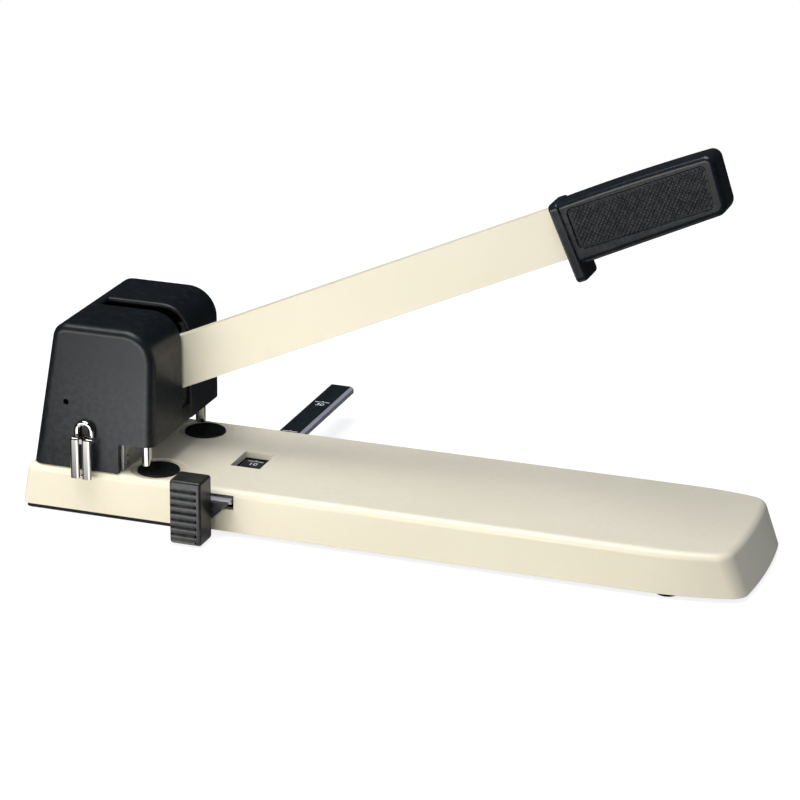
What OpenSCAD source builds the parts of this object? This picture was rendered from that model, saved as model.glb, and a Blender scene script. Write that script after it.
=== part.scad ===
// Heavy-duty two-hole punch: long lever, geared punch head and sliding paper guide.
// Axes: +X runs from the head to the free end of the base, +Y to the far side, +Z up.
// The origin lies on the desk, below the middle of the punch line.

/* [Punching] */
// Distance between the two hole centres
hole_pitch = 80; // [76:1:90]
// Distance from the paper stop to the hole centres
hole_margin = 12; // [11:0.5:14]
// Outer diameter of the hollow cutters
cutter_d = 6; // [5:0.1:6.4]
// Wall of the cutter tubes
cutter_wall = 0.6; // [0.4:0.1:1]
// Clear height of the paper throat
throat_h = 18; // [14:0.5:24]
// Gap left between the cutters and the discs at the end of the stroke
nip_gap = 0.3; // [0.2:0.1:1]

/* [Base] */
// Length of the base ahead of the punch line
base_front = 357.5; // [320:0.5:420]
// Length of the base behind the punch line
base_rear = 74; // [70:0.5:90]
// Height of the base housing
base_h = 25; // [22:0.5:34]
// Ledge of the base beyond the cover, each side
base_ledge = 2.5; // [1.5:0.5:8]
// Wall of the base housing
base_wall = 4; // [3:0.5:5]
// Rounding along the top edges of the base
base_edge_r = 4.5; // [3:0.5:6]
// Inward lean of the free end over its height
end_lean = 8; // [4:0.5:12]
// Thickness of the rubber pad and of the feet
pad_t = 2.5; // [2:0.5:5]
// Diameter of the front feet
foot_d = 13; // [10:1:18]

/* [Cutting discs] */
// Diameter of the discs under the cutters
disc_d = 24.4; // [22:0.2:28]
// Thickness of the discs
disc_t = 4; // [3:0.5:5]
// Height of the discs above the base
disc_proud = 0.2; // [0:0.1:0.6]
// Forward offset of the disc centres from the punch line
disc_shift_x = 5.1; // [4:0.1:6]
// Inward offset of the disc centres from the cutters
disc_shift_y = 5; // [4:0.1:6]

/* [Cover] */
// Front of the cover ahead of the punch line
cover_front = 8.5; // [8:0.5:12]
// Rear of the cover behind the pivot, at the bottom
cover_tail = 22.5; // [19:0.5:26]
// Lean of the rear wall over its height
cover_lean = 15; // [8:0.5:15]
// Room beside each cutter to the outside of the cover
cover_side_room = 11.5; // [11:0.5:16]
// Height of the cover above the pivot
cover_rise = 46.5; // [44:0.5:60]
// Lean of each side over the height
cover_taper = 1.9; // [0:0.1:2]
// Wall of the cover
cover_wall = 2.5; // [2:0.1:2.8]
// Rounding between the sides and the top of the cover
cover_edge_r = 5; // [4:0.5:7]
// Rounding of the upright corners at the foot of the cover
cover_corner_r = 7; // [5:0.5:9]
// Rounding of the front top corner
cover_nose_r = 18; // [12:0.5:20]
// Rounding of the rear top corner
cover_tail_r = 9.5; // [8:0.5:12]

/* [Lever] */
// Distance from the pivot to the punch line
pivot_x = 45.5; // [44:0.5:52]
// Height of the pivot above the throat
pivot_rise = 21.8; // [21.5:0.1:26]
// Slope of the lever, as drawn
lever_angle = 24.3; // [20:0.1:30]
// Height of the lever bar
lever_h = 29.5; // [26:0.5:30]
// Thickness of the lever bar
lever_t = 8; // [6:0.5:9]
// Distance from the pivot to the upper edge of the lever
lever_top = 7.5; // [7:0.5:8]
// Distance from the pivot to the grip
grip_start = 303.5; // [250:0.5:360]
// Length of the grip with its guard
grip_l = 98; // [80:1:120]
// Height of the grip at the guard
grip_h = 36.2; // [30:0.1:42]
// Thickness of the grip
grip_t = 21; // [18:0.5:28]
// Length of the guard below the lever
guard_drop = 13.5; // [6:0.5:18]
// Diameter of the pivot shaft
shaft_d = 8; // [7:0.5:9]

/* [Rack drive] */
// Tooth size of the sectors and racks
gear_module = 2; // [1.9:0.05:2.1]
// Teeth that a full sector wheel would have
gear_teeth = 17; // [17:1:18]
// Width of the sectors
sector_w = 8; // [6:0.5:9]
// Thickness of the frame cheeks
cheek_t = 4; // [3:0.5:5]
// Height of the crosshead
crosshead_h = 12; // [10:0.5:13]
// Diameter of the guide posts
post_d = 6; // [5:0.5:7]

/* [Paper guide] */
// Left edge of the guide bar ahead of the punch line
bar_x = 42; // [40:0.5:60]
// Width of the guide bar
bar_w = 16; // [14:0.5:20]
// Thickness of the guide bar
bar_t = 3; // [2:0.5:4]
// Reach of the bar beyond the middle, on the far side
bar_far = 152.5; // [140:0.5:180]
// Gap between the base and the paper stop
stop_gap = 7; // [6.5:0.5:20]
// Width of the paper stop
stop_w = 19; // [16:0.5:24]
// Depth of the paper stop
stop_depth = 17; // [14:0.5:22]
// Height of the paper stop above the base
stop_rise = 12; // [6:0.5:20]
// Number of finger ribs on the paper stop
stop_ribs = 8; // [5:1:12]
// Length of the viewing window
window_l = 25; // [16:1:32]

/* [Latch] */
// Distance of the latch behind the punch line
latch_x = 33.2; // [30:0.1:36]
// Width of the latch
latch_w = 12.8; // [11:0.1:15]
// Height of the latch pin above the base
latch_pin_h = 19.5; // [18:0.5:24]
// Diameter of the latch wire loop
latch_wire = 3.4; // [2.6:0.1:4]

/* [Hidden] */
$fn = 48;

// Fits: running fit of round pieces, free gap between moving faces, seat of fixed pieces
run_fit = 0.06;
free_gap = 0.5;
seat_fit = 0.04;

// Heights measured from the desk
base_top = pad_t + base_h;
function above(h) = base_top + h;
pivot_h = throat_h + pivot_rise;
cover_h = pivot_h + cover_rise;

// Widths that follow the hole pitch
hole_y = hole_pitch / 2;
cover_half = hole_y + cover_side_room;
base_half = cover_half + base_ledge;
inner_half = cover_half - cover_taper - cover_wall - free_gap;

// Base housing
side_draft = 1;
base_top_half = base_half - side_draft;
rear_draft = 3;
end_bulge = 2;
end_corner_r = 11;
end_curve_l = 57.5;
end_curve_r = 170;
rear_corner_r = 4;
cavity_half = base_half - base_wall - side_draft;
cavity_front = base_front - end_lean - base_edge_r - base_wall;
cavity_rear = base_rear - rear_draft - base_wall;
cavity_past = cavity_front - base_front + end_curve_l;
cavity_cut_l = cavity_past / 2;
cavity_cut_w = end_curve_r - sqrt(pow(end_curve_r, 2) - pow(cavity_past, 2)) + 0.5;
cavity_top = -base_wall;
plate_t = 1.5;
plate_gap = 0.3;
pad_inset = 1.5;
pad_front = 38;
screw_r = 1.5;
screw_head_r = 2.8;
screw_grip = 9;
rack_screw_grip = 8;
cheek_boss_h = 6;
stripper_screw_grip = 5;
boss_lead = 20;
boss_r = 5;
boss_inset = 8;
foot_inset = 46;
foot_edge = 10;
foot_boss_r = foot_d / 2 + 1.5;
foot_x = base_front - foot_inset;
foot_y = base_half - foot_edge;
boss_y = cavity_half - boss_inset;
boss_xs = [bar_x + bar_w + boss_lead, (bar_x + bar_w + cavity_front) / 2, cavity_front - boss_inset];

// Cutting discs and their wells
disc_r = disc_d / 2;
disc_y = hole_y - disc_shift_y;
well_wall = 3;
well_floor = 3;
relief_r = disc_r + 4.2;
relief_d = 1;
well_bottom = disc_proud - disc_t - well_floor;

// Stop plate, stripper plate and cheeks
stop_t = 2;
stripper_t = 4;
stop_front = -hole_margin;
stop_back = stop_front - stop_t;
flange_t = 4;
flange_back = stop_back - flange_t;
stripper_front = cover_front - cover_wall - free_gap;
stripper_top = throat_h + stripper_t;
cheek_in = lever_t / 2 + sector_w + 2;
cheek_out = cheek_in + cheek_t;
cheek_foot_w = 14;
cheek_foot_t = 4;
cheek_rear = pivot_x + 12.5;
bush_r = shaft_d / 2 + 1.5;
cheek_eye_r = bush_r + 3;
flange_out = inner_half - 1;
stop_screw_y = flange_out - 6;
stop_screw_hs = [3.6, throat_h - 8];

// Rack drive
pitch_r = gear_module * gear_teeth / 2;
tooth_pitch = PI * gear_module;
addendum = gear_module;
dedendum = 1.25 * gear_module;
backlash = 0.3;
mesh_gap = 0.2;
pressure = 20;
base_r = pitch_r * cos(pressure);
root_r = pitch_r - dedendum;
tip_r = pitch_r + addendum;
tooth_step = 360 / gear_teeth;
sector_hub_r = cheek_eye_r;
dowel_r = 2;
dowel_s = 11.5;
rack_line = -pivot_x + pitch_r + mesh_gap;
rack_root = rack_line + dedendum;
rack_back = rack_root + 6;
rack_in = lever_t / 2 + 1;
rack_out = rack_in + sector_w - 1;
rack_low = pivot_h - 4 * tooth_pitch + 0.6;
press_angle = 9;
lift_angle = 50;
down_travel = pitch_r * press_angle * PI / 180;
up_travel = pitch_r * lift_angle * PI / 180;
tip_h = disc_proud + nip_gap + down_travel;

// Crosshead, cutters and posts
crosshead_lift = 22;
crosshead_low = throat_h + crosshead_lift;
crosshead_top = crosshead_low + crosshead_h;
crosshead_back = -9;
crosshead_front = cover_front - cover_wall - 0.7;
crosshead_end = 5.4;
crosshead_half = hole_y + crosshead_end;
tie_low = stripper_top + down_travel + 0.7;
tie_t = 3;
tie_back = 0.5;
leg_out = rack_in + 4;
shank_r = cutter_d / 2 + 0.8;
collar_r = shank_r + 0.8;
nut_flats = 9;
nut_h = 4;
cutter_top = crosshead_top + nut_h + 2;
post_x = -3.5;
post_inset = 14;
post_y = hole_y - post_inset;
post_top = crosshead_top + up_travel + 2;
spring_in = post_d / 2 + 0.5;
spring_out = spring_in + 1.6;

// Lever and grip
lever_low = lever_h - lever_top;
heel_s = 16;
eye_r = cheek_eye_r;
slot_half = lever_t / 2 + 2;
slot_low = throat_h + 9;
slot_rear = -pivot_x + 2.5;
guard_t = 6;
tang_h = 19;
tang_mid = (lever_top - lever_low) / 2;
tang_end = grip_start + grip_l - 10;
grip_mid = tang_mid - 1.1;
grip_taper = 1.3;
grip_round = 3.4;
panel_depth = 0.6;
panel_edge = 6;
guard_over = 1.2;
oil_hole_r = 1.75;

// Paper guide
bar_clear = 1;
bar_top = cavity_top - bar_clear;
bar_low = bar_top - bar_t;
bar_slot_gap = 1;
bar_slot_drop = 3.5;
strip_t = 0.3;
strip_edge = 0.5;
strip_near = -20;
stop_inner = -(base_half + stop_gap);
stop_outer = stop_inner - stop_depth;
stop_left = bar_x - 12;
stop_right = stop_left + stop_w;
stop_floor = 1 - base_top;
bar_near = stop_inner - 10;
tongue_w = stop_right - 2 - bar_x;
tongue_seat = 5;
gusset_t = 3;
gusset_drop = 7;
gusset_tip = 1.2;
bar_bevel = 3;
rib_depth = 1.2;
rib_round = 2;
window_margin = 2;
window_y = -15;
strap_w = 8;
strap_t = 2;
strap_leg = 7;
strap_ys = [-0.7 * cavity_half, 0.7 * cavity_half];

// Latch
hasp_arm = 2.4;
pin_r = 0.9;
knuckle_r = 1.4;
loop_r = (latch_w - latch_wire) / 2 - 0.1;
loop_leg = 5;
latch_plate_t = 1;
latch_y = -(cover_half + 4.4);
hasp_drop = 2.8;
hasp_strip_r = 1.5;
hasp_t = 2.4;
stud_r = 0.7;
stud_h = -1.5;
slit_half = 0.85;
strip_lead = 1.3;
ear_root = 0.6;
ear_r = 1.5;

// Points of an arc about c, from angle a to angle b
function arc(c, r, a, b, n = 8) = [for (i = [0:n]) let(t = a + (b - a) * i / n) c + r * [cos(t), sin(t)]];

// Points of a rectangle with rounded corners
function round_rect(x0, y0, x1, y1, r, n = 6) = concat(
    arc([x1 - r, y1 - r], r, 0, 90, n), arc([x0 + r, y1 - r], r, 90, 180, n),
    arc([x0 + r, y0 + r], r, 180, 270, n), arc([x1 - r, y0 + r], r, 270, 360, n));

// Block between two opposite corners
module block(a, b) {
    translate(a) cube(b - a);
}

// Outline in the XZ plane, drawn between two Y values
module side_cut(y0, y1) {
    translate([0, y1, 0]) rotate([90, 0, 0]) linear_extrude(y1 - y0) children();
}

// Outline in the YZ plane, drawn between two X values
module cross_cut(x0, x1) {
    translate([x0, 0, 0]) rotate([90, 0, 90]) linear_extrude(x1 - x0) children();
}

// Outline in the XY plane, drawn between two heights
module flat_cut(z0, z1) {
    translate([0, 0, z0]) linear_extrude(z1 - z0) children();
}

// Round bar along X
module rod_x(y, z, r, x0, x1) {
    translate([x0, y, z]) rotate([0, 90, 0]) cylinder(r = r, h = x1 - x0);
}

// Round bar along Y
module rod_y(x, z, r, y0, y1) {
    translate([x, y0, z]) rotate([-90, 0, 0]) cylinder(r = r, h = y1 - y0);
}

// Round bar along Z
module rod_z(x, y, r, z0, z1) {
    translate([x, y, z0]) cylinder(r = r, h = z1 - z0);
}

// A shape and its mirror image across the middle plane
module both_sides() {
    children();
    mirror([0, 1, 0]) children();
}

// The lever's own frame: X along the bar, Z across it, origin at the pivot
module on_lever() {
    translate([-pivot_x, 0, above(pivot_h)]) rotate([0, -lever_angle, 0]) children();
}

// Screw with its head below: shank upward from z, head downward
module screw_up(x, y, z, length, head) {
    rod_z(x, y, screw_r, z, z + length);
    rod_z(x, y, screw_head_r, z - head, z);
}

// Screw with its head on top: shank downward from z, head upward
module screw_down(x, y, z, length, head) {
    rod_z(x, y, screw_r, z - length, z);
    rod_z(x, y, screw_head_r, z, z + head);
}

// Half of the plan of the base, from the rear corner to the middle of the free end
function base_plan_half() = let(
    xs = base_front - end_curve_l,
    cx = base_front - end_bulge - end_corner_r,
    t = asin((cx - xs) / (end_curve_r - end_corner_r)),
    cy = base_half - end_curve_r + (end_curve_r - end_corner_r) * cos(t),
    re = (cy * cy + end_bulge * end_bulge) / (2 * end_bulge),
    te = asin(cy / re))
    concat(
        arc([base_front - re, 0], re, 0, te, 8),
        arc([cx, cy], end_corner_r, te + 2, 90 - t, 8),
        arc([xs, base_half - end_curve_r], end_curve_r, 90 - t, 90, 6),
        arc([-base_rear + rear_corner_r, base_half - rear_corner_r], rear_corner_r, 90, 180, 6));

// Outer form of the base housing
module base_form() {
    half = base_plan_half();
    n = len(half);
    mirrored = [for (i = [n - 1:-1:1]) [half[i].x, -half[i].y]];
    r = base_edge_r;
    tail = base_rear - rear_draft;
    nose = base_front - end_lean;
    intersection() {
        flat_cut(pad_t, base_top) polygon(concat(half, mirrored));
        side_cut(-base_half - 1, base_half + 1) polygon(concat(
            [[-base_rear, pad_t], [base_front, pad_t]],
            arc([nose - r, base_top - r], r, 15, 90), arc([r - tail, base_top - r], r, 90, 175)));
        cross_cut(-base_rear - 1, base_front + 1) polygon(concat(
            [[-base_half, pad_t], [base_half, pad_t]],
            arc([base_top_half - r, base_top - r], r, 0, 90),
            arc([r - base_top_half, base_top - r], r, 90, 180)));
    }
}

// Plan of the hollow, whose corners at the free end follow the curved sides
function cavity_plan(rear, gap) = let(x = cavity_front - gap, y = cavity_half - gap)
    [[rear, -y], [x - cavity_cut_l, -y], [x, cavity_cut_w - y],
        [x, y - cavity_cut_w], [x - cavity_cut_l, y], [rear, y]];

// Hollow of the base housing, open below
module base_cavity() {
    flat_cut(pad_t - 1, above(cavity_top)) polygon(cavity_plan(-cavity_rear, 0));
}

// Bosses and wells inside the base housing
module base_bosses() {
    both_sides() {
        rod_z(disc_shift_x, disc_y, disc_r + well_wall, above(well_bottom), above(cavity_top) + 1);
        for (x = boss_xs)
            rod_z(x, boss_y, boss_r, pad_t + plate_t, above(cavity_top) + 1);
        rod_z(foot_x, foot_y, foot_boss_r, pad_t, above(cavity_top) + 1);
        for (x = cheek_screw_xs())
            rod_z(x, cheek_screw_y(), boss_r, above(cavity_top) - cheek_boss_h, above(cavity_top) + 1);
        for (y = [-1, 1], s = strap_ys)
            rod_z(strap_screw_x(y), s, 3.5, above(strap_seat()), above(cavity_top) + 1);
    }
}

function cheek_screw_xs() = [-cheek_rear + 6, flange_back - 8];
function cheek_screw_y() = cheek_out + cheek_foot_w / 2;
function strap_seat() = bar_low - 0.3;
function strap_screw_x(side) = bar_x + bar_w / 2 + side * (bar_w / 2 + strap_leg - 2);

module base_housing() {
    color("#f4ead2") difference() {
        union() {
            difference() {
                base_form();
                base_cavity();
            }
            intersection() {
                base_form();
                base_bosses();
            }
        }
        both_sides() {
            rod_z(disc_shift_x, disc_y, disc_r + 0.3, above(disc_proud - disc_t), above(1));
            rod_z(disc_shift_x, disc_y, relief_r, above(-relief_d), above(1));
            for (x = boss_xs)
                rod_z(x, boss_y, screw_r + seat_fit, pad_t, pad_t + plate_t + 10);
            rod_z(foot_x, foot_y, screw_r + seat_fit, pad_t - 1, pad_t + 10);
            for (x = cheek_screw_xs())
                rod_z(x, cheek_screw_y(), screw_r + seat_fit, above(cavity_top) - 7, above(1));
            for (y = [-1, 1], s = strap_ys)
                rod_z(strap_screw_x(y), s, screw_r + seat_fit,
                    above(strap_seat()) - 1, above(strap_seat()) + 4);
        }
        block([bar_x - bar_slot_gap, -base_half - 1, above(bar_low - bar_slot_drop)],
            [bar_x + bar_w + bar_slot_gap, base_half + 1, above(bar_top + 2)]);
        block([bar_x - 0.5, window_y, above(cavity_top) - 1],
            [bar_x + bar_w + window_margin, window_y + window_l, above(1)]);
        rod_y(-latch_x, above(stud_h), stud_r + seat_fit, -base_half, -cavity_half + 1);
    }
}

module bottom_plate() {
    color("#9a9c9e") difference() {
        flat_cut(pad_t, pad_t + plate_t) polygon(cavity_plan(pad_front + 1, plate_gap));
        both_sides() {
            for (x = boss_xs)
                rod_z(x, boss_y, screw_r + seat_fit, pad_t - 1, pad_t + plate_t + 1);
            rod_z(foot_x, foot_y, foot_boss_r + plate_gap, pad_t - 1, pad_t + plate_t + 1);
        }
    }
}

module bottom_screws() {
    color("silver") both_sides() for (x = boss_xs) screw_up(x, boss_y, pad_t, plate_t + screw_grip, 1.2);
}

module rear_pad() {
    color("#17181a") difference() {
        flat_cut(0, pad_t) polygon(round_rect(
            -base_rear + pad_inset, -base_half + pad_inset, pad_front, base_half - pad_inset, rear_corner_r));
        both_sides() for (x = cheek_screw_xs())
            rod_z(x, cheek_screw_y(), screw_head_r + 0.5, -1, pad_t + 1);
    }
}

module front_feet() {
    color("#17181a") both_sides() difference() {
        rod_z(foot_x, foot_y, foot_d / 2, 0, pad_t);
        rod_z(foot_x, foot_y, screw_head_r + seat_fit, -1, pad_t - 1);
        rod_z(foot_x, foot_y, screw_r + seat_fit, -1, pad_t + 1);
    }
}

module foot_screws() {
    color("silver") both_sides() screw_up(foot_x, foot_y, pad_t - 1, screw_grip, 1);
}

// Disc under a cutter, on the far side; it turns in its well to a fresh place
module cutting_disc() {
    difference() {
        rod_z(disc_shift_x, disc_y, disc_r, above(disc_proud - disc_t), above(disc_proud));
        rod_z(disc_shift_x, disc_y, 0.8, above(disc_proud - 0.6), above(disc_proud + 1));
    }
}

module disc_near() {
    color("#1b1d20") mirror([0, 1, 0]) cutting_disc();
}

module disc_far() {
    color("#1b1d20") cutting_disc();
}

module stop_plate() {
    color("#b9bbb8") difference() {
        block([stop_back, -flange_out, above(0)], [stop_front, flange_out, above(throat_h)]);
        for (y = [-1, 1], h = stop_screw_hs)
            rod_x(y * stop_screw_y, above(h), screw_r + seat_fit, stop_back - 1, stop_front + 1);
    }
}

module stop_screws() {
    color("silver") for (y = [-1, 1], h = stop_screw_hs) {
        rod_x(y * stop_screw_y, above(h), screw_r, flange_back + 0.5, stop_front);
        rod_x(y * stop_screw_y, above(h), screw_head_r, stop_front, stop_front + 0.8);
    }
}

module stripper_plate() {
    color("#a9adb0") difference() {
        block([flange_back, -flange_out, above(throat_h)], [stripper_front, flange_out, above(stripper_top)]);
        block([flange_back - 1, -cheek_in, above(throat_h) - 1],
            [stop_back - 0.5, cheek_in, above(stripper_top) + 1]);
        for (y = [-1, 1]) {
            rod_z(0, y * hole_y, cutter_d / 2 + run_fit, above(throat_h) - 1, above(stripper_top) + 1);
            rod_z(post_x, y * post_y, post_d / 2 + seat_fit, above(throat_h) - 1, above(stripper_top) + 1);
            rod_z(flange_back + flange_t / 2, y * stop_screw_y, screw_r + seat_fit,
                above(throat_h) - 1, above(stripper_top) + 1);
        }
    }
}

module stripper_screws() {
    color("silver") for (y = [-1, 1])
        screw_down(flange_back + flange_t / 2, y * stop_screw_y, above(stripper_top),
            stripper_t + stripper_screw_grip, 1.6);
}

// Far frame cheek: pivot plate, foot flange and front flange behind the stop plate
module cheek() {
    rear = -cheek_rear;
    difference() {
        union() {
            side_cut(cheek_in, cheek_out) {
                polygon([[rear, above(0)], [stop_back, above(0)], [stop_back, above(throat_h)],
                    [flange_back - free_gap, above(throat_h)],
                    [-pivot_x + cheek_eye_r, above(pivot_h)], [-pivot_x - cheek_eye_r + 1, above(pivot_h)]]);
                translate([-pivot_x, above(pivot_h)]) circle(r = cheek_eye_r);
            }
            block([rear, cheek_in, above(0)], [flange_back, cheek_out + cheek_foot_w, above(cheek_foot_t)]);
            block([flange_back, cheek_in, above(0)], [stop_back, flange_out, above(throat_h)]);
        }
        rod_y(-pivot_x, above(pivot_h), bush_r + seat_fit, cheek_in - 1, cheek_out + 1);
        for (x = cheek_screw_xs())
            rod_z(x, cheek_screw_y(), screw_r + seat_fit, above(0) - 1, above(cheek_foot_t) + 1);
        for (h = stop_screw_hs)
            rod_x(stop_screw_y, above(h), screw_r + seat_fit, flange_back - 1, stop_back + 1);
        rod_z(flange_back + flange_t / 2, stop_screw_y, screw_r + seat_fit,
            above(throat_h) - stripper_screw_grip - 0.5, above(throat_h) + 1);
    }
}

module cheek_near() {
    color("#8d9194") mirror([0, 1, 0]) cheek();
}

module cheek_far() {
    color("#8d9194") cheek();
}

module cheek_screws() {
    color("silver") both_sides() for (x = cheek_screw_xs())
        screw_up(x, cheek_screw_y(), above(cavity_top) - cheek_boss_h,
            base_wall + cheek_boss_h + cheek_foot_t, 2);
}

module shaft_bushes() {
    color("#b08d4f") both_sides() difference() {
        union() {
            rod_y(-pivot_x, above(pivot_h), bush_r, cheek_in, cheek_out);
            rod_y(-pivot_x, above(pivot_h), bush_r + 1, lever_t / 2 + sector_w + 0.4, cheek_in);
        }
        rod_y(-pivot_x, above(pivot_h), shaft_d / 2 + run_fit, 0, cheek_out + 1);
    }
}

module guide_posts() {
    color("#c9ccce") both_sides() {
        rod_z(post_x, post_y, post_d / 2, above(throat_h), above(post_top));
        rod_z(post_x, post_y, post_d / 2 + 1.5, above(post_top), above(post_top) + 2);
    }
}

// Far return spring round its guide post, between the stripper plate and the crosshead
module return_spring() {
    difference() {
        rod_z(post_x, post_y, spring_out, above(stripper_top), above(crosshead_low));
        rod_z(post_x, post_y, spring_in, above(stripper_top) - 1, above(crosshead_low) + 1);
    }
}

module return_spring_near() {
    color("#8f9498") mirror([0, 1, 0]) return_spring();
}

module return_spring_far() {
    color("#8f9498") return_spring();
}

// Body of the cover, drawn in by an inset and started at a height
module cover_form(inset, low) {
    r = cover_edge_r - inset;
    e = cover_edge_r;
    c = cover_corner_r;
    rear = -(pivot_x + cover_tail);
    rear_top = rear + cover_lean;
    top_half = cover_half - cover_taper - e;
    nose = [cover_front - cover_nose_r, above(cover_h) - cover_nose_r];
    tail = [rear_top + cover_tail_r, above(cover_h) - cover_tail_r];
    hull() both_sides() {
        for (x = [rear + c, cover_front - c])
            translate([x, cover_half - c, above(0) + low]) cylinder(r = c - inset, h = 0.02, $fn = 32);
        for (p = concat(arc(nose, cover_nose_r - e, 0, 90, 5), arc(tail, cover_tail_r - e, 90, 170, 2)))
            translate([p.x, top_half, p.y]) sphere(r = r, $fn = 32);
    }
}

module head_cover() {
    color("#2b2d31") difference() {
        cover_form(0, 0);
        cover_form(cover_wall, -1);
        block([stop_front - 1, -cover_half - 1, above(0) - 1],
            [cover_front + 1, cover_half + 1, above(throat_h)]);
        block([slot_rear, -slot_half, above(slot_low)], [cover_front + 1, slot_half, above(cover_h) + 1]);
        rod_y(-pivot_x, above(pivot_h), oil_hole_r, -cover_half - 1, -cover_half + cover_wall + 3);
    }
}

// Plate, two knuckles and wire loop that the latch hangs from
module latch_staple() {
    inner = hasp_arm + 0.3;
    outer = latch_w / 2 - 0.1;
    wire = latch_wire / 2;
    back = -(cover_half - 0.1);
    color("#d5d8da") difference() {
        union() {
            block([-latch_x - outer, back - latch_plate_t, above(latch_pin_h - 3)],
                [-latch_x + outer, back, above(latch_pin_h + knuckle_r)]);
            for (side = [-1, 1]) {
                near = -latch_x + min(side * inner, side * outer);
                far = near + outer - inner;
                block([near, latch_y, above(latch_pin_h - knuckle_r)],
                    [far, back, above(latch_pin_h + knuckle_r)]);
                rod_x(latch_y, above(latch_pin_h), knuckle_r, near, far);
                rod_z(-latch_x + side * loop_r, back - wire, wire,
                    above(latch_pin_h), above(latch_pin_h + loop_leg));
            }
            translate([-latch_x, back - wire, above(latch_pin_h + loop_leg)]) rotate([90, 0, 0])
                rotate_extrude(angle = 180) translate([loop_r, 0]) circle(r = wire);
        }
        rod_x(latch_y, above(latch_pin_h), pin_r + seat_fit, -latch_x - outer - 1, -latch_x + outer + 1);
    }
}

module latch_pin() {
    reach = latch_w / 2 - 0.1;
    color("#d5d8da") rod_x(latch_y, above(latch_pin_h), pin_r, -latch_x - reach, -latch_x + reach);
}

module latch_stud() {
    color("#d5d8da") rod_y(-latch_x, above(stud_h), stud_r, latch_y - pin_r - 2.6, -cavity_half);
}

// Swinging hasp: two rounded strips with a slit between them, hung from a middle knuckle
module latch_hasp() {
    front = latch_y - pin_r - 0.8;
    top = above(latch_pin_h + strip_lead);
    color("#d5d8da") difference() {
        union() {
            for (side = [-1, 1]) intersection() {
                hull() for (x = [slit_half + hasp_strip_r, latch_w / 2 - hasp_strip_r])
                    rod_z(-latch_x + side * x, front + hasp_strip_r - hasp_t, hasp_strip_r,
                        above(-hasp_drop), top);
                block([-latch_x - latch_w / 2, front - 4, above(-hasp_drop)],
                    [-latch_x + latch_w / 2, front, top]);
            }
            block([-latch_x - hasp_arm, front - ear_root, above(latch_pin_h - ear_r)],
                [-latch_x + hasp_arm, latch_y, top]);
            rod_x(latch_y, above(latch_pin_h), ear_r, -latch_x - hasp_arm, -latch_x + hasp_arm);
        }
        rod_x(latch_y, above(latch_pin_h), pin_r + run_fit, -latch_x - latch_w, -latch_x + latch_w);
    }
}

module lever_arm() {
    half = lever_t / 2;
    color("#f2e6cb") difference() {
        on_lever() union() {
            side_cut(-half, half) polygon([[0, lever_top], [grip_start, lever_top], [grip_start, -lever_low],
                [heel_s, -lever_low], [-0.7 * eye_r, -0.7 * eye_r]]);
            rod_y(0, 0, eye_r, -half, half);
            block([grip_start - 1, -half, tang_mid - tang_h / 2], [tang_end, half, tang_mid + tang_h / 2]);
        }
        rod_y(-pivot_x, above(pivot_h), shaft_d / 2 + seat_fit, -lever_t, lever_t);
        for (a = dowel_angles())
            rod_y(dowel_x(a), dowel_z(a), dowel_r + seat_fit, -lever_t, lever_t);
    }
}

function dowel_angles() = [lever_angle - 40, lever_angle - 70];
function dowel_x(a) = -pivot_x + dowel_s * cos(a);
function dowel_z(a) = above(pivot_h) + dowel_s * sin(a);

// Moulded grip with its guard and sunk side panels
module grip() {
    end = grip_start + grip_l;
    top = grip_mid + grip_h / 2;
    low = grip_mid - grip_h / 2;
    r = grip_round;
    color("#232529") on_lever() difference() {
        union() {
            hull() both_sides() for (p = [
                [grip_start + guard_t, top - r], [end - r, top - grip_taper - r],
                [end - r - 3.5, low + grip_taper + r], [grip_start + guard_t, low + r]])
                translate([p.x, grip_t / 2 - r, p.y]) sphere(r = r, $fn = 32);
            cross_cut(grip_start, grip_start + guard_t) polygon(round_rect(
                -grip_t / 2 - guard_over, -lever_low - guard_drop, grip_t / 2 + guard_over, top + 0.8, 3));
        }
        block([grip_start - 1, -lever_t / 2 - seat_fit, tang_mid - tang_h / 2 - seat_fit],
            [tang_end + 0.2, lever_t / 2 + seat_fit, tang_mid + tang_h / 2 + seat_fit]);
        both_sides() side_cut(grip_t / 2 - panel_depth, grip_t / 2 + 1) polygon(round_rect(
            grip_start + guard_t + 3, low + panel_edge + 0.8, end - 7, top - panel_edge + 0.8, 3));
    }
}

module pivot_shaft() {
    end = cheek_out + 3;
    color("#b4b8bb") difference() {
        rod_y(-pivot_x, above(pivot_h), shaft_d / 2, -end, end);
        both_sides() difference() {
            rod_y(-pivot_x, above(pivot_h), shaft_d, cheek_out + 0.4, cheek_out + 1.6);
            rod_y(-pivot_x, above(pivot_h), shaft_d / 2 - 0.5, cheek_out, cheek_out + 2);
        }
    }
}

module shaft_rings() {
    color("#55595c") both_sides() difference() {
        rod_y(-pivot_x, above(pivot_h), shaft_d / 2 + 1.8, cheek_out + 0.5, cheek_out + 1.5);
        rod_y(-pivot_x, above(pivot_h), shaft_d / 2 - 0.5 + seat_fit, cheek_out, cheek_out + 2);
    }
}

// Half angle of a sector tooth at radius r, on an involute flank
function flank_roll(r) = let(a = acos(base_r / r)) tan(a) * 180 / PI - a;
function half_tooth(r) = (tooth_pitch / 2 - backlash) / (2 * pitch_r) * 180 / PI
    + flank_roll(pitch_r) - flank_roll(r);

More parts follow.
